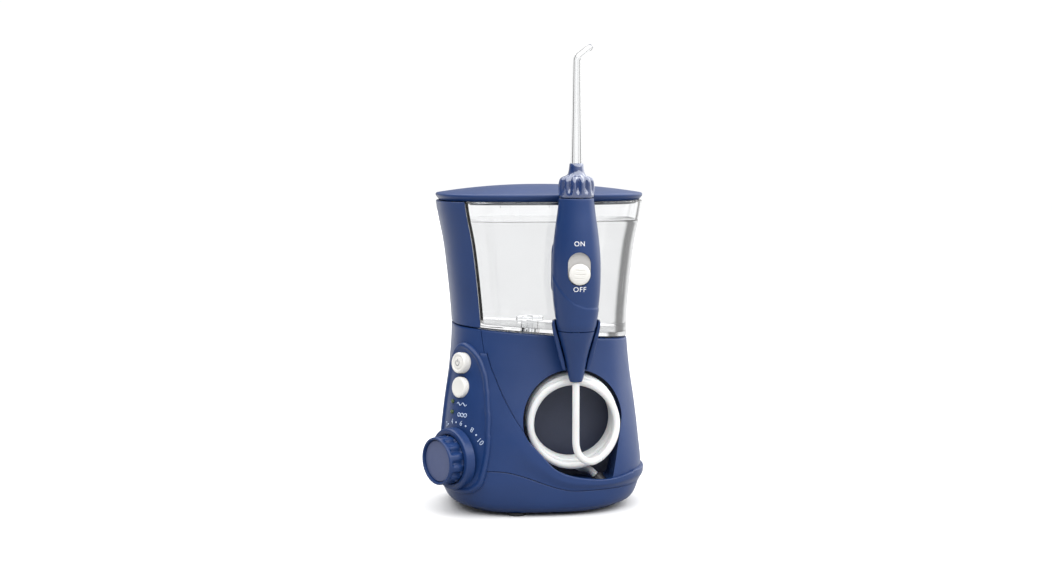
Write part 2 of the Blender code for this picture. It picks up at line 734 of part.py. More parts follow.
def reservoir(make, looks):
    low, high = (lambda x: parting_z(x) + GAP), level(TANK_TOP)
    floor = lambda x: parting_z(x) + GAP + 2.4
    levels = [k / 5 for k in range(6)]
    outside = [tank_ring(low, high, s) for s in levels]
    inside = [tank_ring(floor, high, s, TANK_WALL) for s in reversed(levels)]
    tank = loft("reservoir_tank", outside + inside)
    valve_hole = make.cutter(cylinder("valve_hole", 5.0, 95, 112, (VALVE_X, VALVE_Y, 0)))
    combine(tank, valve_hole, "DIFFERENCE")
    for side in (-1, 1):
        x = 15 * side
        place = (x, HINGE_Y, HINGE_Z)
        lug = make.cutter(cylinder(f"lug_{side}", 2.3, -3, 3, place, (1, 0, 0), 16))
        web = make.cutter(box(f"lug_web_{side}", (x - 3, 41.5, 169.5), (x + 3, HINGE_Y, 176.2)))
        bore = make.cutter(cylinder(f"lug_bore_{side}", 1.4, -5, 5, place, (1, 0, 0), 16))
        combine(tank, web, "UNION")
        combine(tank, lug, "UNION")
        combine(tank, bore, "DIFFERENCE")
    make.part(tank, looks["clear"], "reservoir")

    outside = [column_ring(low, high, s) for s in levels]
    inside = [column_ring(level(118), high, s, 1.8) for s in reversed(levels)]
    column = loft("reservoir_column", outside + inside)
    make.part(column, looks["navy"], "reservoir")

    valve = turned("reservoir_valve", ((1.5, 109.1), (7.5, 108.2), (7.5, 105.6), (4.6, 105.6), (4.6, 97.5),
                                       (1.5, 97.5)), (VALVE_X, VALVE_Y, 0), steps=18)
    make.part(valve, looks["clear"], "reservoir")
    pin = cylinder("hinge_pin", 1.1, -18, 18, (0, HINGE_Y, HINGE_Z), (1, 0, 0), 12)
    make.part(pin, looks["steel"], "reservoir")


def lid(make, looks):
    rows = ((LID_RIM_BOTTOM, 1.7), (178.4, 0.2), (179.5, 0.0), (180.2, 0.7))
    rings = [body_ring(level(z), level(z), 0, inset) for z, inset in rows]
    rise = LID_TOP - rows[-1][0]
    for share in (0.9, 0.65, 0.3):
        z = rows[-1][0] + rise * (1 - share**2)
        rings.append([Vector((p.x * share, p.y * share, z)) for p in rings[3]])
    cover = thicken(loft("lid", rings, close_first=False), 1.2)
    knuckle = make.cutter(cylinder("lid_knuckle", 2.3, -11.6, 11.6, (0, HINGE_Y, HINGE_Z), (1, 0, 0), 16))
    web = make.cutter(box("lid_web", (-11.6, 41.9, 177.1), (11.6, HINGE_Y, 179.3)))
    bore = make.cutter(cylinder("knuckle_bore", 1.4, -14, 14, (0, HINGE_Y, HINGE_Z), (1, 0, 0), 16))
    combine(cover, web, "UNION")
    combine(cover, knuckle, "UNION")
    combine(cover, bore, "DIFFERENCE")
    make.part(cover, looks["navy"], "lid")

    walls = ((3.3, 0), (3.3, 1), (4.5, 1), (4.5, 0))
    rings = [tank_ring(level(172.0), level(178.0), s, inset) for inset, s in walls]
    make.part(loft("lid_skirt", rings + rings[:1], False, False), looks["skirt"], "lid")


# ---------------------------------------------------------------- handle, tip and hose

def stadium(half_width, low, high, steps=8):
    """Outline of an upright slot with round ends, about x = 0."""
    outline = []
    for k in range(steps + 1):
        angle = math.pi * k / steps
        outline.append((half_width * math.cos(angle), high - half_width + half_width * math.sin(angle)))
    for k in range(steps + 1):
        angle = math.pi + math.pi * k / steps
        outline.append((half_width * math.cos(angle), low + half_width + half_width * math.sin(angle)))
    return outline


def slab(name, outline, front, back):
    """A flat outline standing in the handle's middle plane, from one depth to another."""
    made = prism(name, outline, back - front)
    made.location = Vector((HANDLE_X, (front + back) / 2, 0)) * MM
    return solid_mesh(made)


def handle(make, looks):
    axis_place = (HANDLE_X, HANDLE_Y, 0)
    outer = ((9.7, 178.6), (10.5, 171), (12.0, 160), (13.4, 147), (13.55, 136), (12.5, 119),
             (10.45, 105.2))
    inner = [(radius - 2.0, z) for radius, z in reversed(outer)]
    profile = [(4.5, 178.6), *outer, *inner[:-1], (7.7, 176.6), (4.5, 176.6)]
    grip = turned("handle_body", profile, axis_place, steps=24)
    slot = make.cutter(slab("switch_slot", stadium(SWITCH_RADIUS + 0.5, *SWITCH_SLOT), -72, -60))
    combine(grip, slot, "DIFFERENCE")
    side = Vector((-math.sin(math.radians(EJECT_AZIMUTH)), -math.cos(math.radians(EJECT_AZIMUTH)), 0))
    eject_place = Vector((HANDLE_X, HANDLE_Y, EJECT_Z))
    window = make.cutter(side_pad("eject_window", 4.8, 13.8, 8.0, 20.0, eject_place, side))
    combine(grip, window, "DIFFERENCE")
    make.part(grip, looks["navy"], "handle")
    pad = side_pad("eject_button", 4.4, 13.4, 9.6, 13.9, eject_place, side)
    make.part(pad, looks["navy"], "eject")

    tail = turned("handle_tail", (
        (10.4, TAIL_TOP_Z), (8.4, 98), (6.5, 91), (5.0, 83.5), (4.1, 78.5), (3.3, NOSE_Z + 0.4),
        (2.8, NOSE_Z), (2.3, NOSE_Z), (2.3, 79), (3.5, 84), (5.0, 91), (6.9, 98), (8.6, TAIL_TOP_Z)),
        axis_place, steps=20)
    make.part(tail, looks["navy"], "handle")

    liner = slab("switch_liner", stadium(SWITCH_RADIUS + 0.1, SWITCH_SLOT[0] + 0.4, SWITCH_SLOT[1] - 0.4),
                 HANDLE_Y - 11.1, HANDLE_Y - 9.9)
    stem_slot = make.cutter(slab("stem_slot", stadium(1.6, SWITCH_Z - 1.7, SWITCH_Z + 7.7),
                                 HANDLE_Y - 12, HANDLE_Y - 9))
    combine(liner, stem_slot, "DIFFERENCE")
    make.part(liner, looks["grey"], "handle")
    rim = SWITCH_RADIUS - 0.1
    switch = turned("pause_switch", ((0, 14.9), (4.6, 14.6), (rim, 13.8), (rim, 11.4), (1.2, 11.4),
                                     (1.2, 6.2), (0, 6.2)), (HANDLE_X, HANDLE_Y, SWITCH_Z), (0, -1, 0), 20)
    make.part(switch, looks["white"], "switch")
    block = box("pause_valve", (HANDLE_X - 5, HANDLE_Y - 5.6, 130), (HANDLE_X + 5, HANDLE_Y + 4, 150))
    combine(block, make.cutter(cylinder("valve_bore", 2.4, 120, 160, axis_place)), "DIFFERENCE")
    make.part(block, looks["acetal"], "handle")
    make.part(cylinder("handle_water_tube", 2.0, 88, 169, axis_place, steps=12), looks["silicone"], "handle")

    collar = turned("tip_collar", (
        (3.6, NECK_TOP_Z), (4.0, NECK_TOP_Z), (4.4, 192.2), (6.6, 190.6), (8.6, COLLAR_TOP_Z), (9.7, 188.4),
        (9.9, 184), (9.6, 179.0), (4.2, 179.0), (4.2, 171.0), (3.6, 171.0)), axis_place, steps=20)
    make.part(collar, looks["collar"], "collar")

    bend = [(HANDLE_X, HANDLE_Y, z) for z in (172, 198, 225, TIP_BEND_Z - 2)]
    for k in range(1, 6):
        angle = math.radians(52) * k / 5
        bend.append((HANDLE_X + 4 * (1 - math.cos(angle)), HANDLE_Y, TIP_BEND_Z - 2 + 4 * math.sin(angle)))
    reach = 8.7
    last = Vector(bend[-1])
    bend.append(last + Vector((math.sin(math.radians(52)), 0, math.cos(math.radians(52)))) * reach)
    radii = [3.2, 3.2, 2.6, 2.1, 2.0, 2.0, 1.9, 1.8, 1.75, 1.2]
    make.part(tube("jet_tip", bend, 3.2, radii), looks["clear"], "tip")


def side_pad(name, half_width, half_height, low, high, place, side):
    """Upright rounded pad reaching out from the handle's axis to one side."""
    outline = stadium(half_width, -half_height, half_height)
    pad = prism(name, outline, high - low)
    pad = solid_mesh(pad)
    turn = Vector((0, -1, 0)).rotation_difference(side)
    middle = Matrix.Translation((place + side * (low + high) / 2) * MM)
    pad.matrix_world = middle @ turn.to_matrix().to_4x4() @ pad.matrix_world
    return pad


LEAD_ROUTE = (
    (14, -53, 75.9), (14, -53, 70), (14, -53, 62), (14, -53, 54), (14, -53, 46), (14.2, -53, 40.5),
    (15.8, -52.9, 35.4), (19.3, -52.4, 32.1), (23.8, -51.5, 31.2), (28.4, -50.7, 33.2),
)
TAIL_ROUTE = (
    (20.5, -26.0, 23.0), (23.2, -28.8, 23.2), (25.6, -32.2, 22.7), (27.2, -33.8, 21.24),
    (28.24, -34.36, 20.17),
)


def hose(make, look):
    make.part(tube("hose_lead", smooth_route(LEAD_ROUTE, 5.0), HOSE_RADIUS), look)
    make.part(tube("hose_tail", smooth_route(TAIL_ROUTE, 2.5), HOSE_RADIUS), look)
    depth = COIL_BACK_Y - COIL_FRONT_Y
    middle = (COIL_BACK_Y + COIL_FRONT_Y) / 2
    coil = tube_of("hose_coil", COIL_OUTER - 2 * HOSE_RADIUS, COIL_OUTER, -depth / 2, depth / 2,
                   (HANDLE_X, middle, COIL_Z), (0, -1, 0), 40)
    make.part(coil, look)


# ---------------------------------------------------------------- the whole flosser

def main():
    clear_scene()
    make = Maker(collection("water_flosser"), collection("cutters", hidden=True))
    looks = {
        "navy": material("navy_plastic", (0.035, 0.075, 0.19), 0.35),
        "well": material("well_plastic", (0.05, 0.06, 0.09), 0.5),
        "white": material("white_plastic", (0.85, 0.86, 0.88), 0.35),
        "grey": material("grey_plastic", (0.5, 0.5, 0.5), 0.4),
        "dial_face": material("dial_face_plastic", (0.12, 0.15, 0.25), 0.4),
        "lens": material("lens_plastic", (0.5, 0.7, 0.6), 0.2, alpha=0.6),
        "clear": material("clear_plastic", (0.9, 0.93, 0.95), 0.05, alpha=0.35),
        "skirt": material("smoke_plastic", (0.1, 0.13, 0.18), 0.15, alpha=0.6),
        "collar": material("collar_plastic", (0.02, 0.04, 0.12), 0.2),
        "hose": material("white_hose", (0.85, 0.86, 0.86), 0.45),
        "silicone": material("silicone", (0.75, 0.77, 0.78), 0.5),
        "rubber": material("rubber", (0.02, 0.02, 0.025), 0.8),
        "steel": material("steel", (0.6, 0.61, 0.63), 0.35, metallic=1.0),
        "nylon": material("nylon", (0.8, 0.79, 0.74), 0.5),
        "acetal": material("acetal", (0.1, 0.1, 0.11), 0.5),
        "board": material("board", (0.03, 0.16, 0.07), 0.6),
    }
    axis_x, axis_y = HANDLE_X, HANDLE_Y
    joints = {
        "power": skin_at(0, POWER_Z, 0), "mode": skin_at(0, MODE_Z, 0), "dial": dial_place()[0],
        "gear": (CRANK_X, GEAR_FRONT_Y, CRANK_Z),
        "pinion": (CRANK_X + GEAR_SPACING, GEAR_FRONT_Y, CRANK_Z),
        "piston": (CRANK_X, CYLINDER_Y, CRANK_Z),
        "reservoir": (0, 0, PARTING_Z), "lid": (0, HINGE_Y, HINGE_Z),
        "handle": (axis_x, axis_y, NOSE_Z), "collar": (axis_x, axis_y, HANDLE_TOP_Z),
        "tip": (axis_x, axis_y, COLLAR_TOP_Z), "switch": (axis_x, axis_y, SWITCH_Z),
        "eject": (axis_x, axis_y, EJECT_Z),
    }
    for name, place in joints.items():
        make.body(name, place)

    front, back = -80.0, WELL_BACK_Y
    round_cut, corner_cut = well_block("well_hollow", WELL_RADIUS, WELL_LEFT_X, WELL_RIGHT_X, WELL_FLOOR_Z,
                                       front, back)
    well_cutters = [make.cutter(round_cut), make.cutter(corner_cut)]
    power = stem_cutter(make, "power_hole", BUTTON_RADIUS + 0.3, POWER_Z, BUTTON_AZIMUTH, BUTTON_TILT)
    mode = stem_cutter(make, "mode_hole", BUTTON_RADIUS + 0.3, MODE_Z, BUTTON_AZIMUTH, BUTTON_TILT)
    lamps = [stem_cutter(make, f"lamp_hole_{k + 1}", 1.4, z, BUTTON_AZIMUTH + 5, BUTTON_TILT, 8.0, LAMP_SIDE)
             for k, z in enumerate(LAMP_HEIGHTS)]
    place, axis = dial_place()
    spindle = make.cutter(cylinder("spindle_hole", 3.2, -14, 14, place, axis))
    ring = make.cutter(cylinder("bezel_hole", 17.8, -14, 14, place, axis, 40))

    base_tray(make, looks["navy"])
    base_housing(make, looks["navy"], well_cutters, [power, mode, *lamps, spindle])
    hose_well(make, looks["well"], well_cutters)
    handle_cradle(make, looks["navy"])
    control_panel(make, looks["navy"], [power, mode, *lamps, ring])
    control_pieces(make, looks)
    underside(make, looks)
    pump_train(make, looks)
    reservoir(make, looks)
    lid(make, looks)
    handle(make, looks)
    hose(make, looks["hose"])


main()
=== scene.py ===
"""Looks of the countertop water flosser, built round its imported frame.

Lengths are in millimetres in the unit's own frame, whose origin is under the middle of the base,
and world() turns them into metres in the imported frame.
"""

import json
import math

import bmesh
import bpy
import numpy as np
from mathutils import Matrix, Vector

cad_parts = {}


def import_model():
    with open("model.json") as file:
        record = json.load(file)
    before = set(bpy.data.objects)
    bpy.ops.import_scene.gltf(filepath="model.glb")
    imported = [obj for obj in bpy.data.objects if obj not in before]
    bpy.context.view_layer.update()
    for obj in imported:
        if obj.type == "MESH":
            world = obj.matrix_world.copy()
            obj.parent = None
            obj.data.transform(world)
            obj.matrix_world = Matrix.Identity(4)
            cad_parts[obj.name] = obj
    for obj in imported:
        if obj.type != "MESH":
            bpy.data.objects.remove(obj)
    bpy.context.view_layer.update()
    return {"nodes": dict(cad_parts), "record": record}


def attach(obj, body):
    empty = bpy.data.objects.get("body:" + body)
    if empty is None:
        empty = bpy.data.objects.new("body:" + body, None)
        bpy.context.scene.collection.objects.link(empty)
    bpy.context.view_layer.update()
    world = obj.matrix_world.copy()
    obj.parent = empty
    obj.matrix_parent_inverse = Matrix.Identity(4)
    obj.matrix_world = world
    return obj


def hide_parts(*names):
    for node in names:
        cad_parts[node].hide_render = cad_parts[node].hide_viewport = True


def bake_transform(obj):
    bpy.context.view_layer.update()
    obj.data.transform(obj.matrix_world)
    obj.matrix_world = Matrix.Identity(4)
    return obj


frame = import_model()

MM = 0.001
UNIT_SHIFT = np.array((5.4, 9.6, 0.0))

# Body sections: height, half width, reach to the front, reach to the back.
SECTIONS = np.array((
    (2.0, 46.0, 48.0, 38.0),
    (5.0, 52.5, 50.5, 41.5),
    (10.0, 56.0, 51.7, 43.5),
    (21.0, 58.8, 52.0, 44.5),
    (40.0, 57.3, 50.4, 43.8),
    (60.0, 55.0, 46.6, 42.6),
    (80.0, 52.2, 42.3, 41.6),
    (102.0, 50.6, 38.6, 41.0),
    (120.0, 51.6, 38.2, 41.2),
    (150.0, 54.9, 39.2, 42.0),
    (180.0, 59.6, 42.4, 43.4),
))
LEFT_FRONT_POWER = 3.0
RIGHT_FRONT_POWER = 2.5
BACK_POWER = 2.6
GAP = 0.3
WALL = 2.2

SEAM_LOW = 14.6
SEAM_RISE = 11.6
SEAM_FROM_X = 16.0
SEAM_RUN = 46.0
PARTING_Z = 101.4
PARTING_SLOPE = -0.085

TRAY_BOTTOM = 2.0
FEET = ((-18, -42), (34, -22), (-34, 27), (34, 27))
SCREWS = ((-30, -26), (38, -10), (-22, 31), (22, 31))

HANDLE_X = 14.0
HANDLE_Y = -53.0
HANDLE_AXIS = (HANDLE_X, HANDLE_Y, 0.0)
HOSE_RADIUS = 2.0
COIL_Z = 51.0
COIL_RADIUS = 24.3
COIL_FRONT_Y = -46.4
COIL_BACK_Y = -26.2
WELL_RADIUS = 29.0
WELL_Z = 53.0
WELL_BACK_Y = -22.2

TANK_WALL = 2.0
TANK_TOP = 175.9
COLUMN_WIDTH = 13.5
WATER_LEVEL = 165.2
HINGE_Y = 46.4
HINGE_Z = 178.0
VALVE_X = -5.0
VALVE_Y = 10.0

DIAL_AZIMUTH = 58.0
DIAL_TILT = -1.5
DIAL_Z = 31.6
BUTTON_AZIMUTH = 55.5
BUTTON_TILT = 6.0
BUTTON_RADIUS = 5.9
POWER_Z = 84.8
MODE_Z = 71.2
LAMP_HEIGHTS = (62.8, 57.0)
LAMP_SIDE = -6.5

SWITCH_Z = 137.3
SWITCH_SLOT = (131.0, 149.4)
SWITCH_RADIUS = 5.9
EJECT_Z = 140.0
EJECT_AZIMUTH = 112.0

# Upper edge of the front shell, as x and height.
SWOOSH = np.array((
    (-36.0, 97.0), (-34.3, 90.9), (-32.1, 82.7), (-30.3, 78.1), (-26.6, 68.7), (-22.9, 61.0), (-19.1, 54.0),
    (-15.2, 48.1), (-11.8, 42.2), (-5.9, 35.8), (0.5, 28.6), (5.3, 25.2), (11.8, 22.7), (20.0, 21.0),
    (29.3, 19.9), (38.2, 20.1), (48.8, 21.6), (60.0, 22.4),
))
# Groove between the control side and the front, as x and height.
SIDE_SEAM = ((-33.8, 26.9), (-33.7, 45.0), (-33.5, 65.5), (-34.4, 83.0), (-36.0, 95.0), (-37.2, 105.0))


# ---------------------------------------------------------------- the body's form

def hermite_table(rows, columns, step=0.25):
    """The sections' columns at close heights, on smooth curves through the given ones."""
    z = np.arange(rows[0, 0], rows[-1, 0] + step / 2, step)
    slopes = np.zeros_like(rows)
    slopes[1:-1] = (rows[2:] - rows[:-2]) / (rows[2:, :1] - rows[:-2, :1])
    at = np.clip(np.searchsorted(rows[:, 0], z, side="right") - 1, 0, len(rows) - 2)
    span = rows[at + 1, 0] - rows[at, 0]
    s = ((z - rows[at, 0]) / span)[:, None]
    low, high = rows[at][:, columns], rows[at + 1][:, columns]
    slope_low = slopes[at][:, columns] * span[:, None]
    slope_high = slopes[at + 1][:, columns] * span[:, None]
    values = ((2 * s**3 - 3 * s**2 + 1) * low + (s**3 - 2 * s**2 + s) * slope_low
              + (3 * s**2 - 2 * s**3) * high + (s**3 - s**2) * slope_high)
    return z, values


SECTION_Z, SECTION_VALUES = hermite_table(SECTIONS, (1, 2, 3))


def section(z):
    return [np.interp(z, SECTION_Z, SECTION_VALUES[:, c]) for c in range(3)]


def outline(angle, z, inset=0.0):
    """Points of the body's outline: angle 0 is the right side, 270 degrees the front."""
    half, front, back = (side - inset for side in section(z))
    across, along = np.cos(angle), np.sin(angle)
    behind = along >= 0
    power = np.where(behind, BACK_POWER, np.where(across > 0, RIGHT_FRONT_POWER, LEFT_FRONT_POWER))
    reach = np.where(behind, back, front)
    x = half * np.sign(across) * np.abs(across) ** (2 / power)
    y = reach * np.sign(along) * np.abs(along) ** (2 / power)
    return x, y


def even_angles(count, start=0.0, end=2 * math.pi, z=70.0):
    """Angles from start to end that space the outline's points evenly."""
    fine = np.linspace(start, end, 6001)
    x, y = outline(fine, z)
    length = np.concatenate([[0.0], np.cumsum(np.hypot(np.diff(x), np.diff(y)))])
    return np.interp(np.linspace(0, length[-1], count), length, fine)


ROUND = even_angles(289)[:-1]


def smooth(s):
    s = np.clip(s, 0.0, 1.0)
    return s * s * (3 - 2 * s)


def seam_z(x):
    return SEAM_LOW + SEAM_RISE * smooth((SEAM_FROM_X - x) / SEAM_RUN)


def parting_z(x):
    return PARTING_Z + PARTING_SLOPE * x


def level(height):
    return lambda x: height + 0.0 * x


def skin_ring(low, high, s, inset=0.0, rise=0.0, angles=ROUND):
    """A ring on the body's skin, a fraction s of the way from surface low to high, moved up by rise."""
    z = low(0.0 * angles) + (high(0.0 * angles) - low(0.0 * angles)) * s
    for _ in range(5):
        x, y = outline(angles, z, inset)
        z = low(x) + (high(x) - low(x)) * s + rise
    return np.stack([x, y, z], 1)


def column_edge(z):
    return -(section(z)[0] - COLUMN_WIDTH)


def corner_angles(z, inset, edge):
    half = section(z)[0] - inset
    share = np.clip(-edge / half, 0.0, 1.0)
    front = 2 * math.pi - np.arccos(-(share ** (LEFT_FRONT_POWER / 2)))
    back = np.arccos(-(share ** (BACK_POWER / 2)))
    return front, back


RIGHT_START = math.radians(232)
RIGHT_RUN = math.radians(256)
RIGHT_SHARES = (even_angles(241, RIGHT_START, math.radians(488)) - RIGHT_START) / RIGHT_RUN
LEFT_SHARES = np.linspace(0, 1, 81)
WALL_POINTS = 20


def close_by_wall(ring):
    """The ring with the points of a straight wall from its end back to its start."""
    t = np.linspace(0, 1, WALL_POINTS + 2)[1:-1, None]
    return np.concatenate([ring, ring[-1] + (ring[0] - ring[-1]) * t])


def tank_ring(low, high, s, inset=0.0, rise=0.0):
    """A ring of the clear tank: the body's outline right of the side column, closed by a flat wall."""
    w = RIGHT_SHARES
    z = low(0.0 * w) + (high(0.0 * w) - low(0.0 * w)) * s
    for _ in range(5):
        front, back = corner_angles(z, inset, column_edge(z) + inset)
        x, y = outline(front + (back + 2 * math.pi - front) * w, z, inset)
        z = low(x) + (high(x) - low(x)) * s + rise
    return close_by_wall(np.stack([x, y, z], 1))


def column_ring(low, high, s, inset=0.0, rise=0.0):
    """A ring of the side column: the body's left side, closed by its inner wall."""
    w = LEFT_SHARES
    x = np.full(len(w), -52.0)
    z = low(x) + (high(x) - low(x)) * s
    for _ in range(5):
        front, back = corner_angles(z, inset, column_edge(z) - GAP - inset)
        x, y = outline(back + (front - back) * w, z, inset)
        z = low(x) + (high(x) - low(x)) * s + rise
    return close_by_wall(np.stack([x, y, z], 1))


def rings_at(ring, low, high, rows):
    """Rings from rows of (share of the height, rise, inset)."""
    return [ring(low, high, s, inset, rise) for s, rise, inset in rows]


def sides(shares, inset=0.0):
    """Rows at shares of the height, all with the same inset and no rise."""
    return [(s, 0.0, inset) for s in shares]


WALK_STEPS = 720
WALK = np.linspace(0, 2 * math.pi, WALK_STEPS + 1)


def skin(side, z, out, azimuth=BUTTON_AZIMUTH, with_normal=False):
    """The skin's point a length to the side of where it faces an azimuth, moved outwards."""
    x, y = outline(WALK, z)
    a = math.radians(azimuth)
    at = int(np.argmax(-math.sin(a) * x[:-1] - math.cos(a) * y[:-1]))
    x, y = (np.concatenate([v[:-1], v[:-1], v[:-1]]) for v in (x, y))
    length = np.concatenate([[0.0], np.cumsum(np.hypot(np.diff(x), np.diff(y)))])
    goal = length[at + WALK_STEPS] + side
    here, there = ((np.interp(goal + d, length, x), np.interp(goal + d, length, y)) for d in (-0.6, 0.6))
    along = np.array((there[0] - here[0], there[1] - here[1]))
    along /= np.linalg.norm(along)
    normal = np.array((along[1], -along[0], 0.0))
    point = np.array((np.interp(goal, length, x), np.interp(goal, length, y), z)) + normal * out
    return (point, normal) if with_normal else point


def front_y(x, z):
    """The skin's y at a place on the front."""
    half, front, _ = section(z)
    power = np.where(x > 0, RIGHT_FRONT_POWER, LEFT_FRONT_POWER)
    return -front * np.clip(1 - (np.abs(x) / half) ** power, 0.0, 1.0) ** (1 / power)


def facing_axis(azimuth, tilt):
    a, t = math.radians(azimuth), math.radians(tilt)
    return np.array((-math.sin(a) * math.cos(t), -math.cos(a) * math.cos(t), math.sin(t)))


# ---------------------------------------------------------------- meshes

def world(points):
    return (np.asarray(points, float) + UNIT_SHIFT) * MM


def build(name, points, faces):
    data = bpy.data.meshes.new(name)
    data.from_pydata(world(points).tolist(), [], faces)
    shape = bmesh.new()
    shape.from_mesh(data)
    bmesh.ops.remove_doubles(shape, verts=shape.verts, dist=1e-7)
    bmesh.ops.triangulate(shape, faces=[face for face in shape.faces if len(face.verts) > 4])
    bmesh.ops.recalc_face_normals(shape, faces=shape.faces)
    if shape.calc_volume(signed=True) < 0:
        bmesh.ops.reverse_faces(shape, faces=shape.faces)
    shape.to_mesh(data)
    shape.free()
    made = bpy.data.objects.new(name, data)
    bpy.context.scene.collection.objects.link(made)
    return made


def grid_faces(rows, count, loop=True, wrap=False):
    faces = []
    for r in range(rows if wrap else rows - 1):
        here, there = r * count, (r + 1) % rows * count
        for k in range(count if loop else count - 1):
            after = (k + 1) % count
            faces.append((here + k, here + after, there + after, there + k))
    return faces


def loft(name, rings, wrap=False):
    """A skin over rings of equally many points, capped at both ends or wrapped back to its first ring."""
    count = len(rings[0])
    faces = grid_faces(len(rings), count, wrap=wrap)
    if not wrap:
        faces.append(tuple(range(count))[::-1])
        faces.append(tuple(range((len(rings) - 1) * count, len(rings) * count)))
    return build(name, np.concatenate(rings), faces)


def frame_of(axis):
    w = np.array(axis, float)
    w /= np.linalg.norm(w)
    u = np.array((1.0, 0.0, 0.0)) if abs(w[2]) > 0.99 else np.cross((0.0, 0.0, 1.0), w)
    u /= np.linalg.norm(u)
    return u, np.cross(w, u), w


def turned(name, profile, place, axis=(0, 0, 1), steps=96, wrap=False, shape=None):
    """A turned solid from (radius, height) points; shape may change each ring's radii by angle."""
    u, v, w = frame_of(axis)
    angles = np.linspace(0, 2 * math.pi, steps, endpoint=False)
    rings = []
    for radius, height in profile:
        radii = np.full(steps, float(radius))
        if shape:
            radii = shape(angles, radii, height)
        rings.append(np.array(place, float) + radii[:, None] * (np.cos(angles)[:, None] * u
                     + np.sin(angles)[:, None] * v) + w * height)
    return loft(name, rings, wrap=wrap)


def box(name, low, high):
    (a, b, c), (d, e, f) = low, high
    ring = ((a, b), (d, b), (d, e), (a, e))
    return loft(name, [np.array([(x, y, z) for x, y in ring]) for z in (c, f)])


def curve_through(points, step):
    """Points at an even spacing along one smooth curve through the route's own points."""
    route = np.array(points, float)
    route = np.concatenate([[2 * route[0] - route[1]], route, [2 * route[-1] - route[-2]]])
    s = np.linspace(0, 1, 40, endpoint=False)[:, None]
    fine = [0.5 * (2 * b + (c - a) * s + (2 * a - 5 * b + 4 * c - d) * s**2 + (3 * b - a - 3 * c + d) * s**3)
            for a, b, c, d in zip(route, route[1:], route[2:], route[3:])]
    fine = np.concatenate([*fine, [route[-2]]])
    length = np.concatenate([[0.0], np.cumsum(np.linalg.norm(np.diff(fine, axis=0), axis=1))])
    goals = np.linspace(0, length[-1], max(2, round(length[-1] / step)) + 1)
    return np.stack([np.interp(goals, length, fine[:, c]) for c in range(fine.shape[1])], 1)


def path_frames(path):
    """Two directions square to a path at each point, carried along it without twist."""
    ways = np.gradient(path, axis=0)
    ways /= np.linalg.norm(ways, axis=1)[:, None]
    side = np.cross(ways[0], (0.3, 1.0, 0.2))
    sides = []
    for way in ways:
        side = side - way * side.dot(way)
        side /= np.linalg.norm(side)
        sides.append(side)
    sides = np.array(sides)
    return sides, np.cross(ways, sides)


def tube_rings(path, radii, sides=20):
    path = np.asarray(path, float)
    u, v = path_frames(path)
    radii = np.broadcast_to(radii, len(path))
    angles = np.linspace(0, 2 * math.pi, sides, endpoint=False)
    return [p + r * (np.cos(angles)[:, None] * a + np.sin(angles)[:, None] * b)
            for p, r, a, b in zip(path, radii, u, v)]


def tube(name, path, radii, sides=20):
    return loft(name, tube_rings(path, radii, sides))


def slab(name, outline_xz, front, back):
    """An upright flat outline of (x, z), from one y to another."""
    flat = np.array(outline_xz, float)
    rings = [np.stack([flat[:, 0], np.full(len(flat), y), flat[:, 1]], 1) for y in (front, back)]
    return loft(name, rings)


def stadium(half_width, low, high, steps=24):
    a = np.linspace(0, math.pi, steps + 1)
    top = np.stack([half_width * np.cos(a), high - half_width + half_width * np.sin(a)], 1)
    bottom = np.stack([-half_width * np.cos(a), low + half_width - half_width * np.sin(a)], 1)
    return np.concatenate([top, bottom])


def letters(words, height):
    """Flat lettering as (points, faces) in the plane, centred and of the given capital height."""
    curve = bpy.data.curves.new("letters", "FONT")
    curve.body = words
    curve.align_x = "CENTER"
    curve.align_y = "CENTER"
    curve.size = 1.4 * height
    curve.space_character = 1.12
    curve.extrude = 0.06
    curve.resolution_u = 4
    made = bpy.data.objects.new("letters", curve)
    bpy.context.scene.collection.objects.link(made)
    bpy.context.view_layer.update()
    data = made.to_mesh()
    points = np.array([v.co for v in data.vertices], float).reshape(-1, 3)
    faces = [tuple(p.vertices) for p in data.polygons]
    made.to_mesh_clear()
    bpy.data.objects.remove(made)
    return points, faces


def cut(obj, *cutters, operation="DIFFERENCE"):
    """Applies exact Booleans, and removes the cutters."""
    for cutter in cutters:
        change = obj.modifiers.new("Cut", "BOOLEAN")
        change.operation = operation
        change.solver = "EXACT"
        change.object = cutter
        bpy.context.view_layer.update()
        graph = bpy.context.evaluated_depsgraph_get()
        data = bpy.data.meshes.new_from_object(obj.evaluated_get(graph))
        obj.modifiers.clear()
        obj.data = data
        bpy.data.objects.remove(cutter)
    return obj


def piece(obj, body, slot, *nodes, look=None, sharp=32.0):
    """Gives a finished mesh its material, picked by its slot unless a look is given, smooth shading and its
    body, and hides the CAD nodes it stands for.
    """
    obj.data.materials.clear()
    obj.data.materials.append(look or LOOKS[slot])
    obj.data.shade_smooth()
    obj.data.set_sharp_from_angle(angle=math.radians(sharp))
    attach(obj, body)
    if nodes:
        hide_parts(*nodes)
    return obj


# ---------------------------------------------------------------- materials

def feed(tree, value, socket):
    """Links a node's output to a socket, or sets a plain value on it."""
    if isinstance(value, bpy.types.NodeSocket):
        tree.links.new(value, socket)
    else:
        socket.default_value = value


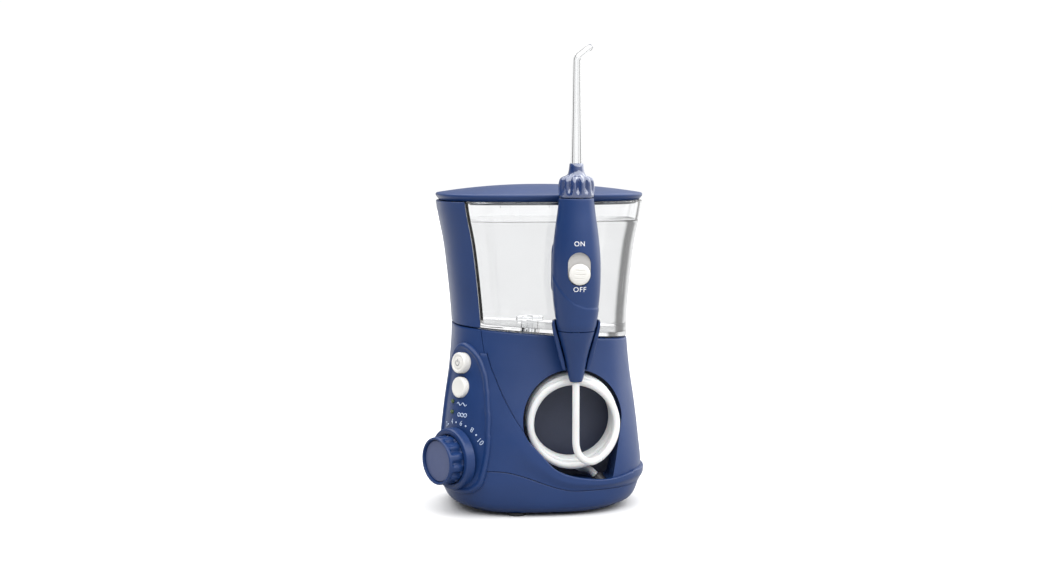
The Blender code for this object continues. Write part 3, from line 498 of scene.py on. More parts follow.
class Nodes:
    def __init__(self, name):
        self.material = bpy.data.materials.new(name)
        self.material.use_nodes = True
        self.tree = self.material.node_tree
        self.shader = self.tree.nodes["Principled BSDF"]
        self.place = self.tree.nodes.new("ShaderNodeTexCoord").outputs["Object"]

    def noise(self, scale, detail=3.0, roughness=0.5, stretch=None):
        node = self.tree.nodes.new("ShaderNodeTexNoise")
        node.inputs["Scale"].default_value = scale
        node.inputs["Detail"].default_value = detail
        node.inputs["Roughness"].default_value = roughness
        place = self.place
        if stretch:
            mapping = self.tree.nodes.new("ShaderNodeMapping")
            mapping.inputs["Scale"].default_value = stretch
            self.tree.links.new(place, mapping.inputs["Vector"])
            place = mapping.outputs["Vector"]
        self.tree.links.new(place, node.inputs["Vector"])
        return node.outputs["Fac"]

    def ramp(self, value, low, high, at=(0.3, 0.7)):
        node = self.tree.nodes.new("ShaderNodeValToRGB")
        for element, place, color in zip(node.color_ramp.elements, at, (low, high)):
            element.position = place
            element.color = (*color, 1.0)
        self.tree.links.new(value, node.inputs["Fac"])
        return node.outputs["Color"]

    def spread(self, value, low, high, at=(0.3, 0.7)):
        node = self.tree.nodes.new("ShaderNodeMapRange")
        node.inputs["From Min"].default_value = at[0]
        node.inputs["From Max"].default_value = at[1]
        node.inputs["To Min"].default_value = low
        node.inputs["To Max"].default_value = high
        self.tree.links.new(value, node.inputs["Value"])
        return node.outputs["Result"]

    def bump(self, value, depth, strength=1.0, under=None):
        node = self.tree.nodes.new("ShaderNodeBump")
        node.inputs["Strength"].default_value = strength
        node.inputs["Distance"].default_value = depth
        self.tree.links.new(value, node.inputs["Height"])
        if under:
            self.tree.links.new(under, node.inputs["Normal"])
        return node.outputs["Normal"]

    def set(self, **values):
        for name, value in values.items():
            feed(self.tree, value, self.shader.inputs[name.replace("_", " ")])
        return self.material


def shade(color, factor):
    return tuple(min(1.0, c * factor) for c in color)


def moulded(name, color, roughness, vary=0.06, grain=0.000012, grain_scale=2200.0, **more):
    """Moulded plastic: faint colour drift, a fine spark-eroded grain and slightly uneven gloss."""
    n = Nodes(name)
    drift = n.noise(38.0, 4.0)
    fine = n.noise(grain_scale, 2.0, 0.6)
    handled = n.noise(95.0, 5.0, 0.6)
    normal = n.bump(fine, grain, 0.6, n.bump(n.noise(60.0, 1.0), 0.00006, 0.5))
    return n.set(Base_Color=n.ramp(drift, shade(color, 1 - vary), shade(color, 1 + vary)),
                 Roughness=n.spread(handled, roughness - 0.035, roughness + 0.045), Normal=normal, **more)


def clear(name, color, roughness, ior, wave=0.00002, **more):
    """Clear moulded plastic or water: barely wavy, with a faint drift of tint and haze."""
    n = Nodes(name)
    drift = n.noise(45.0, 2.0)
    return n.set(Base_Color=n.ramp(drift, shade(color, 0.985), color),
                 Roughness=n.spread(n.noise(140.0, 3.0), roughness, roughness + 0.02),
                 Normal=n.bump(n.noise(28.0, 1.0), wave, 0.5), IOR=ior, Transmission_Weight=1.0, **more)


def metal(name, color, roughness, stretch=(400.0, 400.0, 30.0)):
    n = Nodes(name)
    lines = n.noise(9.0, 3.0, 0.6, stretch)
    return n.set(Base_Color=n.ramp(n.noise(120.0, 3.0), shade(color, 0.9), color), Metallic=1.0,
                 Roughness=n.spread(lines, roughness - 0.06, roughness + 0.1),
                 Normal=n.bump(lines, 0.00001, 0.5))


def board_look():
    n = Nodes("circuit_board_laminate")
    tracks = n.tree.nodes.new("ShaderNodeTexBrick")
    n.tree.links.new(n.place, tracks.inputs["Vector"])
    tracks.inputs["Scale"].default_value = 420.0
    tracks.inputs["Color1"].default_value = (0.02, 0.13, 0.05, 1)
    tracks.inputs["Color2"].default_value = (0.03, 0.19, 0.08, 1)
    tracks.inputs["Mortar"].default_value = (0.012, 0.08, 0.03, 1)
    return n.set(Base_Color=tracks.outputs["Color"], Roughness=n.spread(n.noise(300.0), 0.3, 0.45),
                 Normal=n.bump(tracks.outputs["Fac"], 0.00004, 0.5))


def well_look_with_painted_light():
    """Dark slate on the well's back wall, and on its side walls a navy lighter than the body's own: the
    walls are coloured by which way they face, painted light on the shaded sides of the well.
    """
    n = Nodes("well_plastic")
    shape = n.tree.nodes.new("ShaderNodeNewGeometry")
    parts = n.tree.nodes.new("ShaderNodeSeparateXYZ")
    n.tree.links.new(shape.outputs["Normal"], parts.inputs["Vector"])
    painted_light_facing = n.tree.nodes.new("ShaderNodeMath")
    painted_light_facing.operation = "ABSOLUTE"
    n.tree.links.new(parts.outputs["Y"], painted_light_facing.inputs[0])
    # Painted light: faces turned sideways get a navy brighter than the body's, faces turned to the front or
    # back get the dark slate.
    color = n.ramp(painted_light_facing.outputs["Value"], (0.012, 0.042, 0.15), (0.034, 0.042, 0.078), (0.4, 0.7))
    return n.set(Base_Color=color, Roughness=n.spread(n.noise(95.0, 5.0, 0.6), 0.45, 0.55),
                 Normal=n.bump(n.noise(2200.0, 2.0, 0.6), 0.000012, 0.6))


NAVY = (0.0085, 0.0315, 0.120)
LOOKS = {
    "navy_plastic": moulded("navy_plastic", NAVY, 0.34, Specular_IOR_Level=0.38),
    "well_plastic": well_look_with_painted_light(),
    "white_plastic": moulded("white_plastic", (0.70, 0.69, 0.66), 0.33, 0.02),
    "grey_plastic": moulded("grey_plastic", (0.48, 0.47, 0.46), 0.42, 0.05),
    "dial_face_plastic": moulded("dial_face_plastic", (0.055, 0.075, 0.17), 0.42),
    "lens_plastic": moulded("lens_plastic", (0.10, 0.15, 0.07), 0.15, 0.08, Transmission_Weight=0.4),
    "clear_plastic": clear("clear_plastic", (0.985, 0.99, 0.995), 0.0, 1.47),
    "smoke_plastic": moulded("smoke_plastic", (0.10, 0.125, 0.16), 0.2, 0.06, Transmission_Weight=0.55),
    "collar_plastic": moulded("collar_plastic", (0.015, 0.045, 0.17), 0.1, 0.1, 0.000004,
                              Transmission_Weight=0.3, Coat_Weight=1.0, Coat_IOR=1.9),
    "white_hose": moulded("white_hose", (0.69, 0.70, 0.70), 0.4, 0.03, 0.00002, 1500.0,
                          Subsurface_Weight=0.15, Subsurface_Scale=0.003),
    "silicone": moulded("silicone", (0.62, 0.64, 0.65), 0.5, 0.04, Transmission_Weight=0.25),
    "black_rubber": moulded("black_rubber", (0.018, 0.018, 0.021), 0.75, 0.15, 0.00004, 1400.0),
    "steel": metal("steel", (0.58, 0.58, 0.60), 0.28),
    "nylon": moulded("nylon", (0.66, 0.64, 0.57), 0.5, 0.04),
    "acetal": moulded("acetal", (0.045, 0.045, 0.05), 0.42, 0.1),
    "circuit_board_laminate": board_look(),
}
VALVE = clear("clear_in_water", (0.97, 0.975, 0.98), 0.0, 1.47 / 1.33)
INK = moulded("white_ink", (0.80, 0.81, 0.83), 0.5, 0.04, 0.00003, 900.0)
SOFT_INK = moulded("blue_ink", (0.42, 0.50, 0.66), 0.5, 0.04, 0.00003, 900.0)
GREY_INK = moulded("grey_ink", (0.13, 0.14, 0.16), 0.5, 0.05, 0.00003, 900.0)
WATER = clear("water", (0.90, 0.90, 0.90), 0.0, 1.33, 0.000008)


# ---------------------------------------------------------------- camera

CAMERA_AIM = (-7.5, 0.0)
CAMERA_AZIMUTH = -7.0
CAMERA_PITCH = 4.82
CAMERA_DISTANCE = 1070.0
CAMERA_HEIGHT = 216.0
SENSOR = 36.0
FOCAL_SHARE = 1848 / 1052


def make_camera():
    data = bpy.data.cameras.new("camera")
    data.sensor_width = SENSOR
    data.lens = SENSOR * FOCAL_SHARE
    camera = bpy.data.objects.new("camera", data)
    bpy.context.scene.collection.objects.link(camera)
    a, t = math.radians(CAMERA_AZIMUTH), math.radians(CAMERA_PITCH)
    back = Vector((math.sin(a), -math.cos(a), 0.0))
    place = np.array((*CAMERA_AIM, CAMERA_HEIGHT)) + np.array(back) * CAMERA_DISTANCE
    camera.location = world(place)
    way = -back * math.cos(t) + Vector((0, 0, -math.sin(t)))
    camera.rotation_euler = way.to_track_quat("-Z", "Y").to_euler()
    bpy.context.scene.camera = camera


make_camera()


# ---------------------------------------------------------------- hose

LEAD_ROUTE = (
    (14, -53, 77.5), (14, -53, 74), (14, -53, 70), (14, -53, 66), (14, -53, 62), (14, -53, 58),
    (14, -53, 54), (14, -53, 50), (14, -53, 46), (14.2, -53, 40.5), (15.8, -52.9, 35.4),
    (19.3, -52.4, 32.1), (23.8, -51.5, 31.2), (28.4, -50.7, 33.2),
)
TAIL_ROUTE = (
    (16.6, -26.1, 25.0), (20.5, -26.2, 23.1), (23.2, -28.8, 23.2), (25.6, -32.2, 22.7), (27.2, -33.8, 21.24),
    (28.24, -34.36, 20.17),
)
COIL_FROM = -51.0
COIL_TO = 1705.0
COIL_TURN_STEPS = 24
MERGE_ANGLE = 70.0
COIL_LIFT = 2.8


def coil_route():
    """The stored turns: the lead's end sinks back into the front turn, and the last turn ends low."""
    steps = round((COIL_TO - COIL_FROM) / 360 * COIL_TURN_STEPS)
    route = []
    for k in range(steps + 1):
        share = k / steps
        angle = COIL_FROM + (COIL_TO - COIL_FROM) * share
        merge = 1 - smooth((angle - COIL_FROM) / MERGE_ANGLE)
        y = COIL_FRONT_Y + (COIL_BACK_Y - COIL_FRONT_Y) * share
        y += (LEAD_ROUTE[-1][1] - COIL_FRONT_Y) * merge
        radius = COIL_RADIUS - 1.4 * merge
        a = math.radians(angle)
        lift = COIL_LIFT * smooth(share / 0.5) * (1 - smooth((share - 0.8) / 0.2))
        route.append((HANDLE_X + radius * math.cos(a), y, COIL_Z + lift + radius * math.sin(a)))
    route[0] = LEAD_ROUTE[-1]
    return route


def hose():
    lead = curve_through(LEAD_ROUTE, 1.2)
    made = tube("supply_hose", lead, HOSE_RADIUS, 28)
    made.data.materials.append(LOOKS["white_hose"])
    made.data.shade_smooth()
    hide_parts("hose_lead")
    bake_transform(made)

    stored = curve_through([*coil_route(), *TAIL_ROUTE], 2.0)
    made = tube("stored_hose", stored, HOSE_RADIUS, 28)
    piece(made, "base", "white_hose", "hose_coil", "hose_tail", sharp=60)


hose()


# ---------------------------------------------------------------- base

def well_outline(grow=0.0):
    """The hose well's opening as (x, z): round, with a slanted side down to a square corner."""
    a = np.radians(np.linspace(2, 236, 100))
    r = WELL_RADIUS + grow
    arc = np.stack([HANDLE_X + r * np.cos(a), WELL_Z + r * np.sin(a)], 1)
    bottom = np.stack([np.linspace(2.6, 30.0, 24), np.full(24, 18.6 - grow)], 1)
    corner = np.array((32.4, 23.0))
    c = np.radians(np.linspace(-88, -14, 14))
    turn = corner + (4.4 + grow) * np.stack([np.cos(c), np.sin(c)], 1)
    side = np.linspace(turn[-1], arc[0], 26)[1:-1]
    return np.concatenate([arc, bottom, turn, side])


def groove_cutter(route):
    """A narrow wedge that follows the skin along a route of (x, z)."""
    rings = []
    for x, z in curve_through(route, 1.5):
        y = float(front_y(x, z))
        slope = (float(front_y(x + 0.2, z)) - float(front_y(x - 0.2, z))) / 0.4
        along = np.array((1.0, slope, 0.0)) / math.hypot(1.0, slope)
        out = np.array((along[1], -along[0], 0.0))
        point = np.array((x, y, z))
        corners = ((-0.3, 2), (0.3, 2), (0.16, -0.7), (-0.16, -0.7))
        rings.append(np.array([point + along * a + out * b for a, b in corners]))
    return loft("groove_cutter", rings)


SPINDLE_HOLE = 3.2
DIAL_HOLE = 14.6
LAMP_HOLE = 1.3
LAMP_AZIMUTH = BUTTON_AZIMUTH + 5


def control_holes(dial_radius, dial_steps):
    """Cutters for the buttons, the lamps and the dial."""
    def hole(radius, half_length, place, axis, steps):
        return turned("hole", ((radius, -half_length), (radius, half_length)), place, axis, steps)

    holes = [hole(BUTTON_RADIUS + GAP, 14, skin(0, z, 0), facing_axis(BUTTON_AZIMUTH, BUTTON_TILT), 64)
             for z in (POWER_Z, MODE_Z)]
    holes += [hole(LAMP_HOLE, 8, skin(LAMP_SIDE, z, 0), facing_axis(LAMP_AZIMUTH, BUTTON_TILT), 32)
              for z in LAMP_HEIGHTS]
    holes.append(hole(dial_radius, 14, skin(0, DIAL_Z, 0, DIAL_AZIMUTH),
                      facing_axis(DIAL_AZIMUTH, DIAL_TILT), dial_steps))
    return holes


def housing_low(x):
    return seam_z(x) + GAP / 2


def housing_high(x):
    return parting_z(x) - GAP


def housing():
    rows = [(1, 0, 1.1), (1, -0.1, 0.55), (1, -0.4, 0.17), (1, -0.95, 0.0)]
    rows += sides(np.linspace(0.985, 0.015, 46))
    rows += [(0, 0.6, 0.0), (0, 0.2, 0.14), (0, 0.03, 0.45), (0, 0, WALL)]
    rows += sides(np.linspace(0.03, 0.96, 24), WALL)
    made = loft("housing_shell", rings_at(skin_ring, housing_low, housing_high, rows))
    cutters = [slab("well_cutter", well_outline(), -90.0, WELL_BACK_Y), groove_cutter(SIDE_SEAM),
               groove_cutter(SWOOSH[1:9] + (0.35, 0.35)), *control_holes(SPINDLE_HOLE, 48),
               turned("hole", ((9.0, 85), (9.0, 115)), (VALVE_X, VALVE_Y, 0), steps=64)]
    piece(cut(made, *cutters), "base", "navy_plastic", "base_housing", sharp=28)


def swoosh_z(x):
    return np.interp(x, SWOOSH_LINE[:, 0], SWOOSH_LINE[:, 1])


SWOOSH_LINE = curve_through(SWOOSH, 0.6)
SHELL_ANGLES = even_angles(300, math.radians(231.8), math.radians(360 + 92), 40.0)


def front_shell():
    """The proud skin below the sweeping line, from the side seam round the right side to the back."""
    def shell_ring(s, out, rise=0.0):
        angles = SHELL_ANGLES.copy()
        z = np.full(len(angles), 30.0)
        for _ in range(6):
            x, y = outline(angles, z, -out)
            front = (y < 0) & (x < 50)
            top = np.where(front, swoosh_z(np.maximum(x, -34.2)), np.maximum(22.3, seam_z(x) + 6.0))
            low = housing_low(x)
            z = low + (np.maximum(top, low + 1.5) - low) * s + rise
        return np.stack([x, y, z], 1)

    def proud(s):
        """How far the shell stands out: most round the well, little at its ends and at the seam."""
        x = shell_ring(s, 0.0)[:, 0]
        t = np.linspace(0, 1, len(SHELL_ANGLES))
        bump = 0.8 + 0.9 * smooth((x + 32.0) / 26.0) * smooth((0.72 - t) / 0.25)
        return 0.25 + (bump - 0.25) * smooth(s * 1.6)

    rows = [shell_ring(s, proud(s)) for s in np.linspace(0, 1, 30)]
    top = proud(1.0)
    rows += [shell_ring(1.0, top - 0.12, 0.28), shell_ring(1.0, top - 0.4, 0.46), shell_ring(1.0, -0.4, 0.5)]
    rows += [shell_ring(s, -0.5) for s in (0.97, 0.6, 0.3, 0.0)]
    count = len(SHELL_ANGLES)
    faces = grid_faces(len(rows), count, False, True)
    faces.append(tuple(r * count for r in range(len(rows))))
    faces.append(tuple((r + 1) * count - 1 for r in reversed(range(len(rows)))))
    made = build("front_shell", np.concatenate(rows), faces)
    piece(made, "base", "navy_plastic", sharp=36)


def tray():
    def top(x):
        return seam_z(x) - GAP / 2

    rows = [(0, 0, 1.4), (0, 0.1, 0.6), (0, 0.4, 0.1)]
    rows += sides(np.linspace(0.06, 0.93, 26))
    rows += [(1, -0.5, 0.0), (1, -0.15, 0.14), (1, 0, 0.5), (1, 0, WALL)]
    rings = rings_at(skin_ring, level(TRAY_BOTTOM), top, rows)
    rings += rings_at(skin_ring, level(TRAY_BOTTOM + WALL), top, sides((0.6, 0.2, 0.0), WALL))
    made = loft("tray_shell", rings)
    holes = [turned("hole", ((3.4, -5), (3.4, 10)), (x, y, 0), steps=48) for x, y in SCREWS]
    holes.append(turned("hole", ((4.3, -8), (4.3, 8)), (-26, 42, 15), (0, 1, 0), 48))
    piece(cut(made, *holes), "base", "navy_plastic", "base_tray", sharp=28)


def well_cup():
    inner, outer = well_outline(0.0), well_outline(1.4)

    def ring(flat, y):
        return np.stack([flat[:, 0], np.broadcast_to(y, len(flat)), flat[:, 1]], 1)

    def mouth(flat):
        return np.minimum(front_y(flat[:, 0], flat[:, 1]) + WALL + 0.6, WELL_BACK_Y - 2.0)

    rings = [ring(inner * 0.86 + np.array((2.0, 7.0)), WELL_BACK_Y), ring(inner, WELL_BACK_Y),
             ring(inner, WELL_BACK_Y - 1.0), ring(inner, mouth(inner)),
             ring(outer, mouth(outer)), ring(outer, WELL_BACK_Y + 1.4)]
    made = loft("well_cup", rings)
    hole = turned("hole", ((3.3, -8), (3.3, 2)), (28.5, -34.5, 19.9), (-0.65, 0.35, 0.67), 40)
    piece(cut(made, hole), "base", "well_plastic", "hose_well", sharp=35)


def cradle():
    """Half funnel on the housing that the handle's tail stands in, its two fins rolled at the edge."""
    outside = curve_through(((13.1, 111.0), (13.5, 109.5), (13.3, 106.5), (12.2, 101.0), (10.4, 94.0),
                             (8.9, 88.0), (7.3, 83.4)), 0.8)
    inside = curve_through(((5.8, 83.0), (6.6, 88.0), (9.6, 99.5), (11.5, 106.0), (12.3, 111.0)), 0.8)
    rings = []
    turns = [(-98.2, 0.42), (-97.6, 0.2), (-96.0, 0.0), *[(a, 0.0) for a in np.linspace(-92, 92, 60)],
             (96.0, 0.0), (97.6, 0.2), (98.2, 0.42)]
    for turn, shrink in turns:
        a = math.radians(turn)
        way = np.array((math.sin(a), math.cos(a), 0.0))
        profile = [(r - shrink, z - shrink * (z > 110)) for r, z in outside]
        profile += [(r + shrink * 0.6, z - shrink * (z > 110)) for r, z in inside]
        rings.append(np.array([np.array(HANDLE_AXIS) + way * r + (0, 0, z) for r, z in profile]))
    made = loft("handle_rest", rings)
    web = box("web", (HANDLE_X - 5.5, HANDLE_Y + 7.2, 84.5), (HANDLE_X + 5.5, -36.5, 101.0))
    made = cut(made, web, operation="UNION")
    room = curve_through(((5.75, 81.0), (6.55, 88.0), (9.55, 99.5), (11.45, 106.0), (12.3, 112.5)), 1.5)
    piece(cut(made, turned("room", room, HANDLE_AXIS)), "base", "navy_plastic", "handle_cradle", sharp=38)


FOOT = ((3.2, 0.35), (3.5, 0.05), (4.5, 0.0), (4.85, 0.2), (5.0, 0.6), (5.0, 1.7), (1.0, 1.7), (1.0, 0.35))
SCREW = ((2.5, 2.2), (2.85, 2.35), (3.0, 2.8), (3.0, 4.2), (1.5, 4.2), (1.5, 14.5), (1.1, 15.0))


def underside():
    for k, (x, y) in enumerate(FEET):
        made = turned(f"rubber_foot_{k + 1}", FOOT, (x, y, 0), steps=56, wrap=True)
        piece(made, "base", "black_rubber", f"foot_{k + 1}")
    for k, (x, y) in enumerate(SCREWS):
        made = turned(f"case_screw_{k + 1}", SCREW, (x, y, 0), steps=48)
        slots = [box("slot", (x - a, y - b, 1.0), (x + a, y + b, 3.4))
                 for a, b in ((1.7, 0.35), (0.35, 1.7))]
        piece(cut(made, *slots), "base", "steel", f"screw_{k + 1}")


def base():
    housing()
    front_shell()
    tray()
    well_cup()
    cradle()
    underside()


# ---------------------------------------------------------------- controls

PANEL_ROWS = np.array(((12.5, 7), (15, 14), (20, 19), (32, 21.5), (48, 21.5), (63, 20), (78, 17), (89, 12),
                       (95.5, 4)))


def closed_curve(points, count):
    loop = np.concatenate([points, points[:3]])
    fine = curve_through(loop, 0.3)
    start = np.argmin(np.linalg.norm(fine[:60] - points[1], axis=1))
    end = len(fine) - 60 + np.argmin(np.linalg.norm(fine[-60:] - points[1], axis=1))
    part = fine[start:end + 1]
    length = np.concatenate([[0.0], np.cumsum(np.linalg.norm(np.diff(part, axis=0), axis=1))])
    goals = np.linspace(0, length[-1], count + 1)[:-1]
    return np.stack([np.interp(goals, length, part[:, c]) for c in range(2)], 1)


def inward(flat, by):
    way = np.roll(flat, -2, 0) - np.roll(flat, 2, 0)
    way /= np.linalg.norm(way, axis=1)[:, None]
    return flat + np.stack([-way[:, 1], way[:, 0]], 1) * by


def panel():
    """Teardrop field on the left front with a soft raised border round it."""
    right = [(half, z) for z, half in PANEL_ROWS]
    left = [(-half, z) for z, half in PANEL_ROWS[::-1]]
    flat = closed_curve(np.array(right + left, float), 200)
    profile = ((0.0, -0.6), (0.0, 0.45), (0.25, 1.1), (0.8, 1.75), (1.5, 2.1), (2.2, 1.95), (2.9, 1.5),
               (3.4, 1.05), (3.9, 0.85))
    rings = [[skin(side, z, out) for side, z in inward(flat, by)] for by, out in profile]
    inner = inward(flat, profile[-1][0])
    middle = np.array((0.0, 52.0))
    for share in (0.85, 0.65, 0.45, 0.25, 0.08):
        rings.append([skin(side, z, 0.85) for side, z in middle + (inner - middle) * share])
    made = loft("control_field", [np.array(r) for r in rings])
    piece(cut(made, *control_holes(DIAL_HOLE, 96)), "base", "navy_plastic", "control_panel", sharp=40)


def on_disc(name, place, axis, lines, radius, height):
    """Thin raised lines on a disc's face, given as lists of (right, up) points on it."""
    u, v, w = frame_of(axis)
    made = []
    for k, line in enumerate(lines):
        path = np.array([place + u * a + v * b + w * height for a, b in line])
        made.append(tube(f"{name}_{k + 1}", path, radius, 10))
    return made


def dial():
    place, axis = skin(0, DIAL_Z, 0, DIAL_AZIMUTH), facing_axis(DIAL_AZIMUTH, DIAL_TILT)
    made = turned("dial_ring", ((14.0, -1.0), (14.0, 3.6), (14.2, 4.3), (14.7, 4.6), (16.2, 4.6),
                                (16.9, 4.4), (17.3, 3.9), (17.4, 3.2), (17.4, -1.0)),
                  place, axis, 128, wrap=True)
    piece(made, "base", "navy_plastic", "dial_bezel")

    def flutes(angles, radii, height):
        depth = 1.5 * smooth((12.0 - height) / 1.6) * smooth((height - 3.6) / 1.2) * (radii > 12.9)
        return radii - depth * (0.5 + 0.5 * np.cos(12 * angles)) ** 2.2

    side = [(13.5, z) for z in np.linspace(4.0, 12.3, 16)]
    profile = [(11.9, 11.0), (11.95, 12.5), (12.2, 13.15), (12.6, 13.45), (13.0, 13.4), (13.35, 13.05),
               *side[::-1], (13.3, 3.4), (12.8, 3.1), (3.4, 3.1), (3.2, 9.9), (11.9, 9.9)]
    made = turned("dial_knob", profile, place, axis, 192, wrap=True, shape=flutes)
    piece(made, "dial", "navy_plastic", "pressure_dial")
    face = turned("dial_face", ((11.6, 10.1), (11.7, 11.6), (11.4, 11.95), (10.6, 12.05), (6.0, 11.9),
                                (0.4, 11.85)), place, axis, 128)
    piece(face, "dial", "dial_face_plastic", "dial_cap")


def buttons():
    axis = facing_axis(BUTTON_AZIMUTH, BUTTON_TILT)
    r = BUTTON_RADIUS
    place = skin(0, POWER_Z, 0)
    made = turned("power_key", ((2.0, -6.5), (2.0, -1.0), (r, -1.0), (r, 3.9), (r - 0.15, 4.4),
                                (r - 0.6, 4.8), (r - 1.2, 4.9), (4.2, 4.75), (3.9, 4.45), (3.6, 4.4),
                                (3.3, 4.7), (2.6, 4.85), (0.3, 4.9)), place, axis, 96)
    piece(made, "power_button", "white_plastic", "power_button")
    arc = [(1.55 * math.sin(a), 1.55 * math.cos(a)) for a in np.radians(np.linspace(38, 322, 30))]
    bar = [(0, 0.5), (0, 1.2), (0, 2.1)]
    for mark in on_disc("power_mark", place, axis, (arc, bar), 0.22, 4.82):
        piece(mark, "power_button", "grey_plastic", look=GREY_INK, sharp=60)
    place = skin(0, MODE_Z, 0)
    made = turned("mode_key", ((2.0, -6.5), (2.0, -1.0), (r, -1.0), (r, 2.3), (r - 0.2, 2.8),
                               (r - 0.7, 3.15), (r - 1.3, 3.2), (3.6, 3.05), (2.0, 2.9),
                               (0.3, 2.85)), place, axis, 96)
    piece(made, "mode_button", "white_plastic", "mode_button")


def lamps():
    for k, z in enumerate(LAMP_HEIGHTS):
        place = skin(LAMP_SIDE, z, 0)
        made = turned(f"lamp_{k + 1}", ((1.1, -3.0), (1.1, 1.5), (0.95, 1.85), (0.6, 2.05), (0.15, 2.1)),
                      place, facing_axis(LAMP_AZIMUTH, BUTTON_TILT), 32)
        piece(made, "base", "lens_plastic", f"indicator_lens_{k + 1}")


def icon_line(name, line):
    path = np.array([skin(side, z, 0.95) for side, z in line])
    piece(tube(name, path, 0.24, 8), "base", "white_plastic", look=SOFT_INK, sharp=60)


def marks():
    """Dial scale and two small generic icons beside the lamps."""
    for number, side, z, turn in (("2", -11.4, 49.2, -16), ("4", -4.3, 51.6, -6), ("6", 3.9, 51.5, 8),
                                  ("8", 11.4, 48.6, 26), ("10", 17.0, 42.6, 42)):
        points, faces = letters(number, 2.8)
        c, d = math.cos(math.radians(turn)), math.sin(math.radians(turn))
        placed = []
        for x, y, depth in points:
            placed.append(skin(side + x * c + y * d, z - x * d + y * c, 1.0 + depth, DIAL_AZIMUTH))
        piece(build(f"scale_{number}", placed, faces), "base", "white_plastic", look=SOFT_INK, sharp=60)
    for k, angle in enumerate((-48, -27, -1, 21, 44)):
        side = 20.5 * math.sin(math.radians(angle))
        z = DIAL_Z + 20.0 * math.cos(math.radians(angle))
        place, normal = skin(side, z, 0.8, DIAL_AZIMUTH, True)
        made = turned(f"scale_dot_{k + 1}", ((0.55, -0.2), (0.55, 0.25), (0.4, 0.38), (0.1, 0.42)),
                      place, normal, 20)
        piece(made, "base", "white_plastic", look=SOFT_INK, sharp=60)
    wave = [(-2.0 + 7.5 * s, 62.1 + 0.75 * math.sin(2 * math.pi * 2 * s)) for s in np.linspace(0, 1, 25)]
    icon_line("mode_icon_1", wave)
    turn = np.linspace(0, 2 * math.pi, 17)
    for k in range(3):
        icon_line(f"mode_icon_{k + 2}", [(0.2 + 2.4 * k + math.cos(a), 56.2 + math.sin(a)) for a in turn])


# ---------------------------------------------------------------- reservoir and lid

TANK_FLOOR = 2.4
COLUMN_WALL = 1.8
COLUMN_FLOOR_Z = 118.0
SHARES_UP = np.linspace(0, 1, 40)
SHARES_DOWN = SHARES_UP[::-1]


def tank_low(x):
    return parting_z(x) + GAP


def tank_floor(x):
    return tank_low(x) + TANK_FLOOR


def tank():
    high = level(TANK_TOP)
    rows = [(0, 0.0, 1.2), (0, 0.12, 0.4), (0, 0.6, 0.0), *sides(SHARES_UP[1:-1]),
            (1, -0.4, 0.0), (1, 0.0, 0.35), (1, 0.0, 1.65), (1, -0.4, TANK_WALL)]
    inside = [*sides(SHARES_DOWN[1:-1], TANK_WALL), (0, 0.8, TANK_WALL), (0, 0.15, TANK_WALL + 0.4),
              (0, 0.0, TANK_WALL + 1.2)]
    rings = rings_at(tank_ring, tank_low, high, rows) + rings_at(tank_ring, tank_floor, high, inside)
    made = loft("clear_tank", rings)
    hole = turned("hole", ((5.0, 95), (5.0, 112)), (VALVE_X, VALVE_Y, 0), steps=64)
    piece(cut(made, hole), "reservoir", "clear_plastic", "reservoir_tank", sharp=30)


def water():
    """The water reaches a little into the tank's walls, so that no film of air shows between them."""
    inset = TANK_WALL - 0.06
    rows = [(0, -0.06, inset + 1.2), (0, 0.1, inset + 0.4), (0, 0.8, inset), *sides(SHARES_UP[1:-1], inset),
            (1, -0.1, inset), (1, -0.35, inset + 0.4), (1, -0.6, inset + 1.4)]
    made = loft("tank_water", rings_at(tank_ring, tank_floor, level(WATER_LEVEL), rows))
    piece(made, "reservoir", "clear_plastic", look=WATER, sharp=30)


def side_column():
    high = level(TANK_TOP)
    rows = [(0, 0.0, 1.0), (0, 0.1, 0.35), (0, 0.5, 0.0), *sides(SHARES_UP[1:-1]),
            (1, -0.4, 0.0), (1, 0.0, 0.35), (1, 0.0, 1.5), (1, -0.4, COLUMN_WALL)]
    rings = rings_at(column_ring, tank_low, high, rows)
    rings += rings_at(column_ring, level(COLUMN_FLOOR_Z), high, sides(SHARES_DOWN[1:], COLUMN_WALL))
    piece(loft("side_column", rings), "reservoir", "navy_plastic", "reservoir_column", sharp=30)


def hinge_lugs():
    profile = ((1.4, -3), (2.0, -3), (2.3, -2.7), (2.3, 2.7), (2.0, 3), (1.4, 3))
    for side in (-1, 1):
        x = 15 * side
        made = turned(f"hinge_lug_{side + 2}", profile, (x, HINGE_Y, HINGE_Z), (1, 0, 0), 48, wrap=True)
        web = box("web", (x - 3, 41.6, 169.5), (x + 3, HINGE_Y - 1.7, 176.0))
        piece(cut(made, web, operation="UNION"), "reservoir", "clear_plastic")


def reservoir():
    tank()
    water()
    side_column()
    hinge_lugs()


